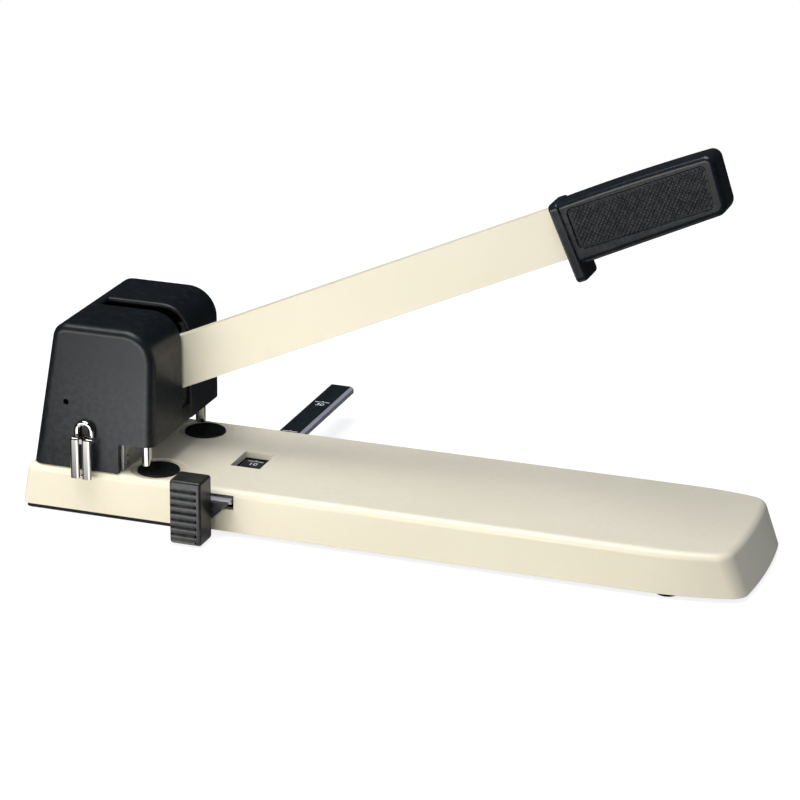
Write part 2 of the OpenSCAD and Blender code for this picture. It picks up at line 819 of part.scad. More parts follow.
// One sector tooth that points along angle a
module sector_tooth(a) {
    rs = [for (i = [0:4]) base_r + (tip_r - base_r) * i / 4];
    left = [for (r = rs) r * [cos(a + half_tooth(r)), sin(a + half_tooth(r))]];
    right = [for (i = [4:-1:0]) rs[i] * [cos(a - half_tooth(rs[i])), sin(a - half_tooth(rs[i]))]];
    h = half_tooth(base_r);
    foot = root_r - 1;
    polygon(concat([foot * [cos(a - h), sin(a - h)], foot * [cos(a + h), sin(a + h)]], left, right));
}

// Far toothed sector, fixed to the side of the lever
module sector() {
    first = -3 * tooth_step;
    last = tooth_step;
    inner = lever_t / 2;
    outer = inner + sector_w;
    difference() {
        translate([-pivot_x, 0, above(pivot_h)]) union() {
            rod_y(0, 0, sector_hub_r, inner, outer);
            side_cut(inner, outer) polygon(concat([[0, 0]], arc([0, 0], root_r, first - 8, last + 8, 16)));
            for (k = [-3:1])
                side_cut(inner, outer) sector_tooth(k * tooth_step);
        }
        rod_y(-pivot_x, above(pivot_h), shaft_d / 2 + seat_fit, 0, lever_t / 2 + sector_w + 1);
        for (a = dowel_angles())
            rod_y(dowel_x(a), dowel_z(a), dowel_r + seat_fit, 0, lever_t / 2 + sector_w + 1);
    }
}

module sector_near() {
    color("#777b7e") mirror([0, 1, 0]) sector();
}

module sector_far() {
    color("#777b7e") sector();
}

module sector_dowels() {
    end = lever_t / 2 + sector_w - 0.5;
    color("silver") for (a = dowel_angles()) rod_y(dowel_x(a), dowel_z(a), dowel_r, -end, end);
}

// Crosshead: two punch blocks with arms to the racks, tied together below the lever
module crosshead() {
    low = above(crosshead_low);
    top = above(crosshead_top);
    color("#979ba0") difference() {
        union() {
            both_sides() {
                block([crosshead_back, rack_in, low], [crosshead_front, crosshead_half, top]);
                block([rack_back, rack_in, low], [crosshead_back, rack_out, top]);
                block([tie_back, rack_in, above(tie_low)], [crosshead_front, leg_out, low]);
            }
            block([tie_back, -leg_out, above(tie_low)], [crosshead_front, leg_out, above(tie_low + tie_t)]);
        }
        both_sides() {
            rod_z(0, hole_y, shank_r + seat_fit, low - 1, top + 1);
            rod_z(post_x, post_y, post_d / 2 + run_fit, low - 1, top + 1);
            rod_x((rack_in + rack_out) / 2, (low + top) / 2, screw_r + seat_fit, rack_back - 1,
                rack_back + rack_screw_grip + 1);
        }
    }
}

// Far rack: upright bar with teeth toward the pivot
module rack() {
    half = (tooth_pitch / 2 - backlash) / 2;
    tip = half - addendum * tan(pressure);
    root = half + dedendum * tan(pressure);
    difference() {
        union() {
            block([rack_root, rack_in, above(rack_low)], [rack_back, rack_out, above(crosshead_top)]);
            for (j = [-4:1]) {
                mid = above(pivot_h) + (j + 0.5) * tooth_pitch;
                side_cut(rack_in, rack_out) polygon([
                    [rack_root + 0.5, mid - root], [rack_root, mid - root], [rack_line - addendum, mid - tip],
                    [rack_line - addendum, mid + tip], [rack_root, mid + root],
                    [rack_root + 0.5, mid + root]]);
            }
        }
        rod_x((rack_in + rack_out) / 2, above((crosshead_low + crosshead_top) / 2), screw_r + seat_fit,
            rack_line - 5, rack_back + 1);
        rod_x((rack_in + rack_out) / 2, above((crosshead_low + crosshead_top) / 2), screw_head_r + seat_fit,
            rack_line - 5, rack_root + 2);
    }
}

module rack_near() {
    color("#777b7e") mirror([0, 1, 0]) rack();
}

module rack_far() {
    color("#777b7e") rack();
}

module rack_screws() {
    mid = above((crosshead_low + crosshead_top) / 2);
    color("silver") both_sides() {
        rod_x((rack_in + rack_out) / 2, mid, screw_r, rack_root + 2, rack_back + rack_screw_grip);
        rod_x((rack_in + rack_out) / 2, mid, screw_head_r, rack_root, rack_root + 2);
    }
}

// Far hollow cutter: sharp tube below, collar and threaded shank in the crosshead
module cutter() {
    bore = cutter_d / 2 - cutter_wall;
    low = above(crosshead_low);
    translate([0, hole_y, 0]) rotate_extrude() polygon([
        [bore, above(tip_h) + 1], [cutter_d / 2 - 0.15, above(tip_h)], [cutter_d / 2, above(tip_h) + 0.6],
        [cutter_d / 2, low - 2], [collar_r, low - 2], [collar_r, low], [shank_r, low],
        [shank_r, above(cutter_top)], [bore, above(cutter_top)]]);
}

module cutter_near() {
    color("#dfe2e4") mirror([0, 1, 0]) cutter();
}

module cutter_far() {
    color("#dfe2e4") cutter();
}

module cutter_nuts() {
    color("silver") both_sides() translate([0, hole_y, above(crosshead_top)]) difference() {
        rotate([0, 0, 30]) cylinder(d = nut_flats / cos(30), h = nut_h, $fn = 6);
        rod_z(0, 0, shank_r + seat_fit, -1, nut_h + 1);
    }
}

// Guide bar, whose narrow end sits in the paper stop
module guide_bar() {
    color("#c6c7d2") difference() {
        block([bar_x, bar_near, above(bar_low)], [bar_x + bar_w, bar_far, above(bar_top)]);
        translate([bar_x + bar_w, bar_far, above(bar_low) - 1]) rotate([0, 0, 45])
            translate([-2, -2, 0]) cube([4, 4, bar_t + 2]);
        block([bar_x + tongue_w, bar_near - 1, above(bar_low) - 1],
            [bar_x + bar_w + 1, stop_inner + gusset_t + seat_fit, above(bar_top) + 1]);
        side_cut(stop_inner - 1, -base_half) polygon([
            [bar_x + bar_w - bar_bevel, above(bar_low)], [bar_x + bar_w - bar_bevel, above(bar_low) - 1],
            [bar_x + bar_w + 1, above(bar_low) - 1], [bar_x + bar_w + 1, above(bar_top - gusset_tip)],
            [bar_x + bar_w, above(bar_top - gusset_tip)]]);
        rod_z(stop_bar_screw_x(), stop_bar_screw_y(), screw_r + seat_fit,
            above(bar_low) - 1, above(bar_top) + 1);
    }
}

function stop_bar_screw_x() = bar_x + tongue_w / 2;
function stop_bar_screw_y() = stop_inner - 5;

module scale_strip() {
    color("#16171b") block([bar_x + strip_edge, strip_near, above(bar_top)],
        [bar_x + bar_w - 3, bar_far - strip_edge, above(bar_top + strip_t)]);
}

// Paper stop: ribbed finger block with a web before the end of the bar
module paper_stop() {
    pitch = (stop_rise - stop_floor - 8) / (stop_ribs - 1);
    x = stop_bar_screw_x();
    y = stop_bar_screw_y();
    color("#26282c") difference() {
        union() {
            difference() {
                cross_cut(stop_left, stop_right) polygon(round_rect(
                    stop_outer, above(stop_floor), stop_inner, above(stop_rise), rib_round));
                for (k = [0:stop_ribs - 1])
                    rod_x(stop_outer - rib_depth / 2, above(stop_floor + 1.8 + k * pitch), rib_depth,
                        stop_left - 1, stop_right - 2.6);
            }
            side_cut(stop_inner - 0.5, stop_inner + gusset_t) polygon([
                [stop_left + 4, above(bar_top)], [stop_left + 4, above(bar_low - gusset_drop)],
                [stop_right, above(bar_low - gusset_drop)], [bar_x + bar_w, above(bar_top - gusset_tip)],
                [bar_x + bar_w, above(bar_top)]]);
        }
        block([bar_x - seat_fit, bar_near - seat_fit, above(bar_low)],
            [bar_x + tongue_w + seat_fit, stop_inner + gusset_t + 1, above(bar_top + seat_fit)]);
        rod_z(x, y, screw_r + seat_fit, above(bar_low - tongue_seat) - 1, above(bar_low) + 1);
        rod_z(x, y, screw_head_r + 0.3, above(stop_floor) - 1, above(bar_low - tongue_seat));
    }
}

module stop_bar_screws() {
    color("silver") screw_up(stop_bar_screw_x(), stop_bar_screw_y(), above(bar_low - tongue_seat),
        tongue_seat + bar_t - 0.3, 1.2);
}

// Straps below the bar that carry it under the top of the base
module guide_straps() {
    left = strap_screw_x(-1) - 4;
    right = strap_screw_x(1) + 4;
    color("#9a9c9e") for (s = strap_ys) difference() {
        block([left, s - strap_w / 2, above(strap_seat() - strap_t)],
            [right, s + strap_w / 2, above(strap_seat())]);
        for (y = [-1, 1])
            rod_z(strap_screw_x(y), s, screw_r + seat_fit,
                above(strap_seat() - strap_t) - 1, above(strap_seat()) + 1);
    }
}

module strap_screws() {
    color("silver") for (y = [-1, 1], s = strap_ys)
        screw_up(strap_screw_x(y), s, above(strap_seat() - strap_t), strap_t + 3.5, 1.4);
}

base_housing();
bottom_plate();
bottom_screws();
rear_pad();
front_feet();
foot_screws();
disc_near();
disc_far();
stop_plate();
stop_screws();
stripper_plate();
stripper_screws();
cheek_near();
cheek_far();
cheek_screws();
shaft_bushes();
guide_posts();
return_spring_near();
return_spring_far();
head_cover();
latch_staple();
latch_pin();
latch_stud();
latch_hasp();
lever_arm();
grip();
pivot_shaft();
shaft_rings();
sector_near();
sector_far();
sector_dowels();
crosshead();
rack_near();
rack_far();
rack_screws();
cutter_near();
cutter_far();
cutter_nuts();
guide_bar();
scale_strip();
paper_stop();
stop_bar_screws();
guide_straps();
strap_screws();
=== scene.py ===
"""Looks of a heavy-duty two-hole punch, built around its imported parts.

Lengths are in millimetres of the part's own frame until a mesh is handed over, and in metres after that.
"""

import functools
import logging
import math
from collections.abc import Callable, Sequence
from dataclasses import dataclass
from enum import Enum

import bmesh
import bpy
from mathutils import Matrix, Vector


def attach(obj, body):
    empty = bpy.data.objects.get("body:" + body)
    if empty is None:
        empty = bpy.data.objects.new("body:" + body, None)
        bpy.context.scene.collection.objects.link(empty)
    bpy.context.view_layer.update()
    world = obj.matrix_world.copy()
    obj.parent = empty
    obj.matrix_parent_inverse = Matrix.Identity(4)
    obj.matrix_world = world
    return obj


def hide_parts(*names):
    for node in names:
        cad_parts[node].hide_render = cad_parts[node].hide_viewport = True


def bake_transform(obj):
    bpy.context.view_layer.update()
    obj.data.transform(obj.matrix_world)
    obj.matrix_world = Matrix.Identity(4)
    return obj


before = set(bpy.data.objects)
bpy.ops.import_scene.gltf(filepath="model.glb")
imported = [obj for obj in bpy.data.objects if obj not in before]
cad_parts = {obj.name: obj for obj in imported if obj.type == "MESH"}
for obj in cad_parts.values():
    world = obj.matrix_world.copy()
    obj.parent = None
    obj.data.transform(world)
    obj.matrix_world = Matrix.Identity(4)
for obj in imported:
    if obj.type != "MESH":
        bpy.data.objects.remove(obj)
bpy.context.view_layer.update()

LOG = logging.getLogger("punch")

# One millimetre in metres, and sizes in millimetres that several pieces share
MM = 0.001
BASE_TOP = 27.5
DISC_X = 5.1
DISC_Y = 35.0

# Distances in millimetres at which points count as one, and the radius of a closed tip
SAME = 0.01
SEAM = 1e-4
NODE_SEAM = 2e-3
TIP_R = 1e-6

# Share of a run's length that stays free of new points at either end
END_SHARE = 0.001

# Angles in degrees: flat neighbours that are merged, and the bend at which an edge starts to wear
FLAT_ANGLE = 0.4
WEAR_START = 7.0
WEAR_SPAN = 25.0

# Names that several pieces share
EDGE_LAYER = "edge"
SIDES = (("near", -1), ("far", 1))

Rgb = tuple[float, float, float]
Triple = tuple[float, float, float]
Pair = tuple[float, float]
Place = Callable[[float, float, float], Vector]


def link_up(name: str, data: bpy.types.ID) -> bpy.types.Object:
    """Makes an object around some data and puts it into the scene."""
    obj = bpy.data.objects.new(name, data)
    bpy.context.scene.collection.objects.link(obj)
    return obj


def circle(segments: int) -> list[Pair]:
    """Gives the cosine and sine of each step once round a circle."""
    turns = [math.tau * k / segments for k in range(segments)]
    return [(math.cos(turn), math.sin(turn)) for turn in turns]


def quarter_turn(steps: int) -> list[float]:
    """Gives the angles of a quarter turn in equal steps."""
    return [k * math.pi / (2 * steps) for k in range(steps + 1)]


class Axis(Enum):
    """Direction along which a flat outline is drawn out."""

    X = "x"
    Y = "y"
    Z = "z"

    def place(self, u: float, v: float, w: float) -> Vector:
        """Puts an outline point into the part's frame.

        Args:
            u: First coordinate in the outline's plane.
            v: Second coordinate in the outline's plane.
            w: Distance along this axis.

        Returns:
            The point in the part's frame.
        """
        if self is Axis.X:
            return Vector((w, u, v))
        if self is Axis.Y:
            return Vector((u, w, v))
        return Vector((u, v, w))


@dataclass
class Outline:
    """Closed flat outline, with the way that each point moves when the outline shrinks."""

    points: list[Vector]
    inward: list[Vector]

    @classmethod
    def rounded(cls, corners: Sequence[tuple[float, float, float]], steps: int = 6) -> "Outline":
        """Rounds the corners of a convex polygon that runs counter-clockwise.

        Args:
            corners: Each corner as two coordinates and a radius, 0 for a sharp one.
            steps: Segments in each rounded corner.

        Returns:
            The rounded outline.
        """
        made = cls([], [])
        for i, (u, v, radius) in enumerate(corners):
            here = Vector((u, v))
            back = (Vector(corners[i - 1][:2]) - here).normalized()
            ahead = (Vector(corners[(i + 1) % len(corners)][:2]) - here).normalized()
            half = back.angle(ahead) / 2
            middle = (back + ahead).normalized()
            if radius == 0:
                made.points.append(here)
                made.inward.append(middle / math.sin(half))
                continue
            centre = here + middle * (radius / math.sin(half))
            first = here + back * (radius / math.tan(half)) - centre
            last = here + ahead * (radius / math.tan(half)) - centre
            start = math.atan2(first.y, first.x)
            turn = (math.atan2(last.y, last.x) - start + math.pi) % math.tau - math.pi
            for k in range(steps + 1):
                angle = start + turn * k / steps
                out = Vector((math.cos(angle), math.sin(angle)))
                made.points.append(centre + out * radius)
                made.inward.append(-out)
        return made

    def divided(self, values: Sequence[float], lean: float = 1e-6) -> "Outline":
        """Adds points where the straight runs along the first coordinate cross given values.

        Args:
            values: Values of the first coordinate.
            lean: Slope below which a run counts as one along that coordinate.

        Returns:
            A finer outline of the same shape.
        """
        made = Outline([], [])
        count = len(self.points)
        for i, here in enumerate(self.points):
            made.points.append(here)
            made.inward.append(self.inward[i])
            run = self.points[(i + 1) % count] - here
            side = Vector((-run.y, run.x)).normalized()
            if abs(run.y) >= lean * abs(run.x):
                continue
            shares = [(value - here.x) / run.x for value in values]
            for share in sorted(s for s in shares if END_SHARE < s < 1 - END_SHARE):
                made.points.append(here + run * share)
                made.inward.append(side)
        return made

    def ring(self, inset: float, w: float, place: Place) -> list[Vector]:
        """Gives the outline in space, shrunk by an inset.

        Args:
            inset: How far the outline shrinks.
            w: Station along the third direction.
            place: Puts two outline coordinates and a station into the part's frame.

        Returns:
            The points in the part's frame.
        """
        moved = [p + d * inset for p, d in zip(self.points, self.inward)]
        return [place(p.x, p.y, w) for p in moved]


class Draft:
    """Mesh under construction, in millimetres."""

    def __init__(self) -> None:
        """Starts with no faces."""
        self.bm = bmesh.new()

    def loft(self, rings: Sequence[Sequence[Vector]], caps: bool = True) -> "Draft":
        """Joins closed rings of equal length.

        Args:
            rings: The rings in order.
            caps: Whether the first and last ring are closed by a face.

        Returns:
            This draft.
        """
        rows = [[self.bm.verts.new(p) for p in ring] for ring in rings]
        count = len(rows[0])
        for low, high in zip(rows, rows[1:]):
            for i in range(count):
                j = (i + 1) % count
                self.bm.faces.new((low[i], low[j], high[j], high[i]))
        if caps:
            self.bm.faces.new(rows[0][::-1])
            self.bm.faces.new(rows[-1])
        return self

    def prism(self, outline: Outline, axis: Axis, low: float, high: float) -> "Draft":
        """Draws a straight prism along an axis."""
        return self.loft([outline.ring(0, w, axis.place) for w in (low, high)])

    def pillow(self, outline: Outline, place: Place, low: float, high: float, rim: float) -> "Draft":
        """Draws a prism whose two ends have rounded rims.

        Args:
            outline: Outline at full size.
            place: Puts two outline coordinates and a station into the part's frame.
            low: First station.
            high: Last station.
            rim: Radius of the rims.

        Returns:
            This draft.
        """
        steps = [(rim * (1 - math.sin(t)), rim * (1 - math.cos(t))) for t in quarter_turn(4)]
        stations = [(low + w, d) for w, d in reversed(steps)] + [(high - w, d) for w, d in steps]
        return self.loft([outline.ring(d, w, place) for w, d in stations])

    def box(self, low: Sequence[float], high: Sequence[float]) -> "Draft":
        """Draws a block between two opposite corners."""
        (x0, y0, z0), (x1, y1, z1) = low, high
        outline = Outline.rounded([(x0, y0, 0), (x1, y0, 0), (x1, y1, 0), (x0, y1, 0)])
        return self.prism(outline, Axis.Z, z0, z1)

    def lathe(self, profile: Sequence[Pair], centre: Sequence[float],
              axis: Axis = Axis.Z, segments: int = 48) -> "Draft":
        """Turns a profile of radius and height about an axis.

        Args:
            profile: Radius and height along the axis, from one end to the other.
            centre: Point that the heights are measured from.
            axis: Axis of the turning.
            segments: Segments round the axis.

        Returns:
            This draft.
        """
        origin = Vector(centre)
        around = circle(segments)
        rings = []
        for radius, height in profile:
            r = max(radius, TIP_R)
            rings.append([origin + axis.place(r * c, r * s, height) for c, s in around])
        return self.loft(rings)

    def tube(self, path: Sequence[Vector], radius: float, segments: int = 10) -> "Draft":
        """Draws a round wire along a path.

        Args:
            path: Points of the wire's middle line.
            radius: Radius of the wire.
            segments: Segments round the wire.

        Returns:
            This draft.
        """
        rings = []
        around = circle(segments)
        across = (path[1] - path[0]).orthogonal().normalized()
        for i, here in enumerate(path):
            ahead = (path[min(i + 1, len(path) - 1)] - path[max(i - 1, 0)]).normalized()
            across = (across - ahead * across.dot(ahead)).normalized()
            side = ahead.cross(across)
            rings.append([here + (across * c + side * s) * radius for c, s in around])
        return self.loft(rings)

    def deliver(self, name: str) -> bpy.types.Object:
        """Closes the seams, points the faces outwards and makes an object, still in millimetres."""
        bmesh.ops.remove_doubles(self.bm, verts=self.bm.verts, dist=SEAM)
        bmesh.ops.recalc_face_normals(self.bm, faces=self.bm.faces)
        mesh = bpy.data.meshes.new(name)
        self.bm.to_mesh(mesh)
        self.bm.free()
        return link_up(name, mesh)


def settle(obj: bpy.types.Object) -> bpy.types.Object:
    """Turns what an object's modifiers make into its own plain mesh."""
    depsgraph = bpy.context.evaluated_depsgraph_get()
    depsgraph.update()
    made = bpy.data.meshes.new_from_object(
        obj.evaluated_get(depsgraph), preserve_all_data_layers=True, depsgraph=depsgraph)
    old = obj.data
    obj.modifiers.clear()
    obj.data = made
    bpy.data.meshes.remove(old)
    made.name = obj.name
    return obj


def discard(obj: bpy.types.Object) -> None:
    """Removes a helper object and its mesh."""
    mesh = obj.data
    bpy.data.objects.remove(obj)
    bpy.data.meshes.remove(mesh)


class Joining(Enum):
    """How one solid acts on another."""

    CUT = "DIFFERENCE"
    ADD = "UNION"


def combine(obj: bpy.types.Object, tools: Sequence[bpy.types.Object], how: Joining) -> bpy.types.Object:
    """Cuts helper solids out of an object, or adds them to it, and removes them.

    Args:
        obj: The object that changes.
        tools: The helper solids.
        how: Whether they are cut out or added.

    Returns:
        The changed object.
    """
    for tool in tools:
        step = obj.modifiers.new("shape", "BOOLEAN")
        step.operation = how.value
        step.solver = "EXACT"
        step.object = tool
        settle(obj)
        discard(tool)
    return obj


def soften(obj: bpy.types.Object, width: float, segments: int = 2, angle: float = 35.0) -> bpy.types.Object:
    """Rounds the sharp edges of an object.

    Args:
        obj: The object.
        width: Width of the rounding in millimetres.
        segments: Segments across the rounding.
        angle: Edges that turn by less, in degrees, stay as they are.

    Returns:
        The softened object.
    """
    step = obj.modifiers.new("edges", "BEVEL")
    step.width = width
    step.segments = segments
    step.limit_method = "ANGLE"
    step.angle_limit = math.radians(angle)
    return settle(obj)


def polish(obj: bpy.types.Object, angle: float = 38.0) -> bpy.types.Object:
    """Brings a piece to metres, marks its worn edges, shades curves smooth and keeps flats flat.

    Args:
        obj: The object.
        angle: Edges that turn by more, in degrees, stay crisp.

    Returns:
        The same object.
    """
    bm = bmesh.new()
    bm.from_mesh(obj.data)
    bmesh.ops.scale(bm, vec=(MM, MM, MM), verts=bm.verts)
    layer = bm.verts.layers.float.new(EDGE_LAYER)
    for vert in bm.verts:
        bend = max((e.calc_face_angle_signed(0.0) for e in vert.link_edges), default=0.0)
        vert[layer] = min(1.0, max(0.0, (math.degrees(bend) - WEAR_START) / WEAR_SPAN))
    bm.to_mesh(obj.data)
    bm.free()
    obj.data.shade_smooth()
    obj.data.set_sharp_from_angle(angle=math.radians(angle))
    step = obj.modifiers.new("flats", "WEIGHTED_NORMAL")
    step.keep_sharp = True
    return settle(obj)


def copy_node(node: str, name: str) -> bpy.types.Object:
    """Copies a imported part's mesh as one clean closed skin.

    Args:
        node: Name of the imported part.
        name: Name of the new piece.

    Returns:
        The new piece.
    """
    bm = bmesh.new()
    bm.from_mesh(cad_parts[node].data)
    bmesh.ops.scale(bm, vec=(1 / MM, 1 / MM, 1 / MM), verts=bm.verts)
    bmesh.ops.remove_doubles(bm, verts=bm.verts, dist=NODE_SEAM)
    bmesh.ops.dissolve_limit(bm, angle_limit=math.radians(FLAT_ANGLE), verts=bm.verts, edges=bm.edges)
    mesh = bpy.data.meshes.new(name)
    bm.to_mesh(mesh)
    bm.free()
    return link_up(name, mesh)


class Texture(Enum):
    """Relief that a finish shows up close."""

    PEEL = "orange peel of thick paint"
    MOULDED = "fine grain of a moulding tool"
    BRUSHED = "straight brush lines"
    POLISHED = "faint polishing haze"


class ShaderKit:
    """Shared shader groups, each built once and placed in many materials."""

    CLOUD_LIMITS: Pair = (0.3, 0.7)
    SMUDGE_SCALE: float = 90.0
    SMUDGE_LIMITS: Pair = (0.48, 0.72)
    BREAK_LIMITS: Pair = (0.35, 0.65)
    UPWARD_LIMITS: Pair = (0.55, 0.95)
    DUST_SCALE: float = 260.0
    DUST_LIMITS: Pair = (0.4, 0.75)

    @staticmethod
    def start(name: str, inputs: Sequence[tuple[str, str, float]],
              outputs: Sequence[str]) -> tuple[bpy.types.NodeTree, bpy.types.Node, bpy.types.Node]:
        """Opens a shader group.

        Args:
            name: Name of the group.
            inputs: Each input's name, socket type and default.
            outputs: Names of the float outputs.

        Returns:
            The tree, its input node and its output node.
        """
        tree = bpy.data.node_groups.new(name, "ShaderNodeTree")
        for label, kind, value in inputs:
            socket = tree.interface.new_socket(name=label, in_out="INPUT", socket_type=kind)
            if kind == "NodeSocketFloat":
                socket.default_value = value
        for label in outputs:
            tree.interface.new_socket(name=label, in_out="OUTPUT", socket_type="NodeSocketFloat")
        return tree, tree.nodes.new("NodeGroupInput"), tree.nodes.new("NodeGroupOutput")

    @staticmethod
    def noise(tree: bpy.types.NodeTree, vector: bpy.types.NodeSocket, scale: bpy.types.NodeSocket | float,
              detail: float) -> bpy.types.NodeSocket:
        """Adds a noise texture and gives its value.

        Args:
            tree: Tree that gets the node.
            vector: Coordinates.
            scale: Scale, as a number or a socket.
            detail: Octaves of detail.

        Returns:
            The noise's value socket.
        """
        node = tree.nodes.new("ShaderNodeTexNoise")
        node.inputs["Detail"].default_value = detail
        tree.links.new(vector, node.inputs["Vector"])
        if isinstance(scale, float):
            node.inputs["Scale"].default_value = scale
        else:
            tree.links.new(scale, node.inputs["Scale"])
        return node.outputs["Fac"]

    @staticmethod
    def ramp(tree: bpy.types.NodeTree, value: bpy.types.NodeSocket, low: float, high: float,
             out: Pair = (0.0, 1.0)) -> bpy.types.NodeSocket:
        """Stretches a value between two limits, smoothly.

        Args:
            tree: Tree that gets the node.
            value: The value.
            low: Value that becomes the first output limit.
            high: Value that becomes the second output limit.
            out: The output limits.

        Returns:
            The stretched value's socket.
        """
        node = tree.nodes.new("ShaderNodeMapRange")
        node.interpolation_type = "SMOOTHSTEP"
        for label, number in zip(("From Min", "From Max", "To Min", "To Max"), (low, high, *out)):
            node.inputs[label].default_value = number
        tree.links.new(value, node.inputs["Value"])
        return node.outputs["Result"]

    @staticmethod
    def maths(tree: bpy.types.NodeTree, operation: str, a: bpy.types.NodeSocket,
              b: bpy.types.NodeSocket) -> bpy.types.NodeSocket:
        """Joins two values by an operation.

        Args:
            tree: Tree that gets the node.
            operation: Blender's name of the operation.
            a: First value.
            b: Second value.

        Returns:
            The result's socket.
        """
        node = tree.nodes.new("ShaderNodeMath")
        node.operation = operation
        tree.links.new(a, node.inputs[0])
        tree.links.new(b, node.inputs[1])
        return node.outputs[0]

    @classmethod
    @functools.cache
    def variation(cls) -> bpy.types.NodeTree:
        """Builds the group for fine grain, broad clouding and handling marks."""
        tree, given, out = cls.start(
            "surface_variation",
            [("Vector", "NodeSocketVector", 0), ("Fine Scale", "NodeSocketFloat", 1500),
             ("Broad Scale", "NodeSocketFloat", 25)],
            ["Grain", "Cloud", "Smudge"])
        vector = given.outputs["Vector"]
        tree.links.new(cls.noise(tree, vector, given.outputs["Fine Scale"], 3.0), out.inputs["Grain"])
        broad = cls.noise(tree, vector, given.outputs["Broad Scale"], 4.0)
        tree.links.new(cls.ramp(tree, broad, *cls.CLOUD_LIMITS), out.inputs["Cloud"])
        marks = cls.noise(tree, vector, cls.SMUDGE_SCALE, 5.0)
        tree.links.new(cls.ramp(tree, marks, *cls.SMUDGE_LIMITS), out.inputs["Smudge"])
        return tree

    @classmethod
    @functools.cache
    def wear(cls) -> bpy.types.NodeTree:
        """Builds the group for wear that breaks up along the marked edges."""
        tree, given, out = cls.start(
            "edge_wear",
            [("Vector", "NodeSocketVector", 0), ("Break Scale", "NodeSocketFloat", 300),
             ("Amount", "NodeSocketFloat", 0.5)],
            ["Mask"])
        edge = tree.nodes.new("ShaderNodeAttribute")
        edge.attribute_name = EDGE_LAYER
        breaks = cls.noise(tree, given.outputs["Vector"], given.outputs["Break Scale"], 4.0)
        mask = cls.maths(tree, "MULTIPLY", edge.outputs["Fac"], cls.ramp(tree, breaks, *cls.BREAK_LIMITS))
        tree.links.new(cls.maths(tree, "MULTIPLY", mask, given.outputs["Amount"]), out.inputs["Mask"])
        return tree

    @classmethod
    @functools.cache
    def dust(cls) -> bpy.types.NodeTree:
        """Builds the group for the thin dust that settles on faces that look up."""
        tree, given, out = cls.start(
            "settled_dust",
            [("Vector", "NodeSocketVector", 0), ("Amount", "NodeSocketFloat", 0.1)], ["Mask"])
        normal = tree.nodes.new("ShaderNodeNewGeometry")
        split = tree.nodes.new("ShaderNodeSeparateXYZ")
        tree.links.new(normal.outputs["Normal"], split.inputs[0])
        facing = cls.ramp(tree, split.outputs["Z"], *cls.UPWARD_LIMITS)
        specks = cls.noise(tree, given.outputs["Vector"], cls.DUST_SCALE, 6.0)
        mask = cls.maths(tree, "MULTIPLY", facing, cls.ramp(tree, specks, *cls.DUST_LIMITS))
        tree.links.new(cls.maths(tree, "MULTIPLY", mask, given.outputs["Amount"]), out.inputs["Mask"])
        return tree


# What all finishes share: coat, wear and dust, the dark of grain, and the sockets of a colour mix
COAT_ROUGHNESS = 0.25
BREAK_SCALE = 320.0
DUST_COLOUR: Rgb = (0.42, 0.40, 0.37)
GRAIN_LIMITS: Pair = (0.55, 0.35)
GRAIN_SHADE = 0.45
MIX_FIRST, MIX_SECOND, MIX_RESULT = 6, 7, 2


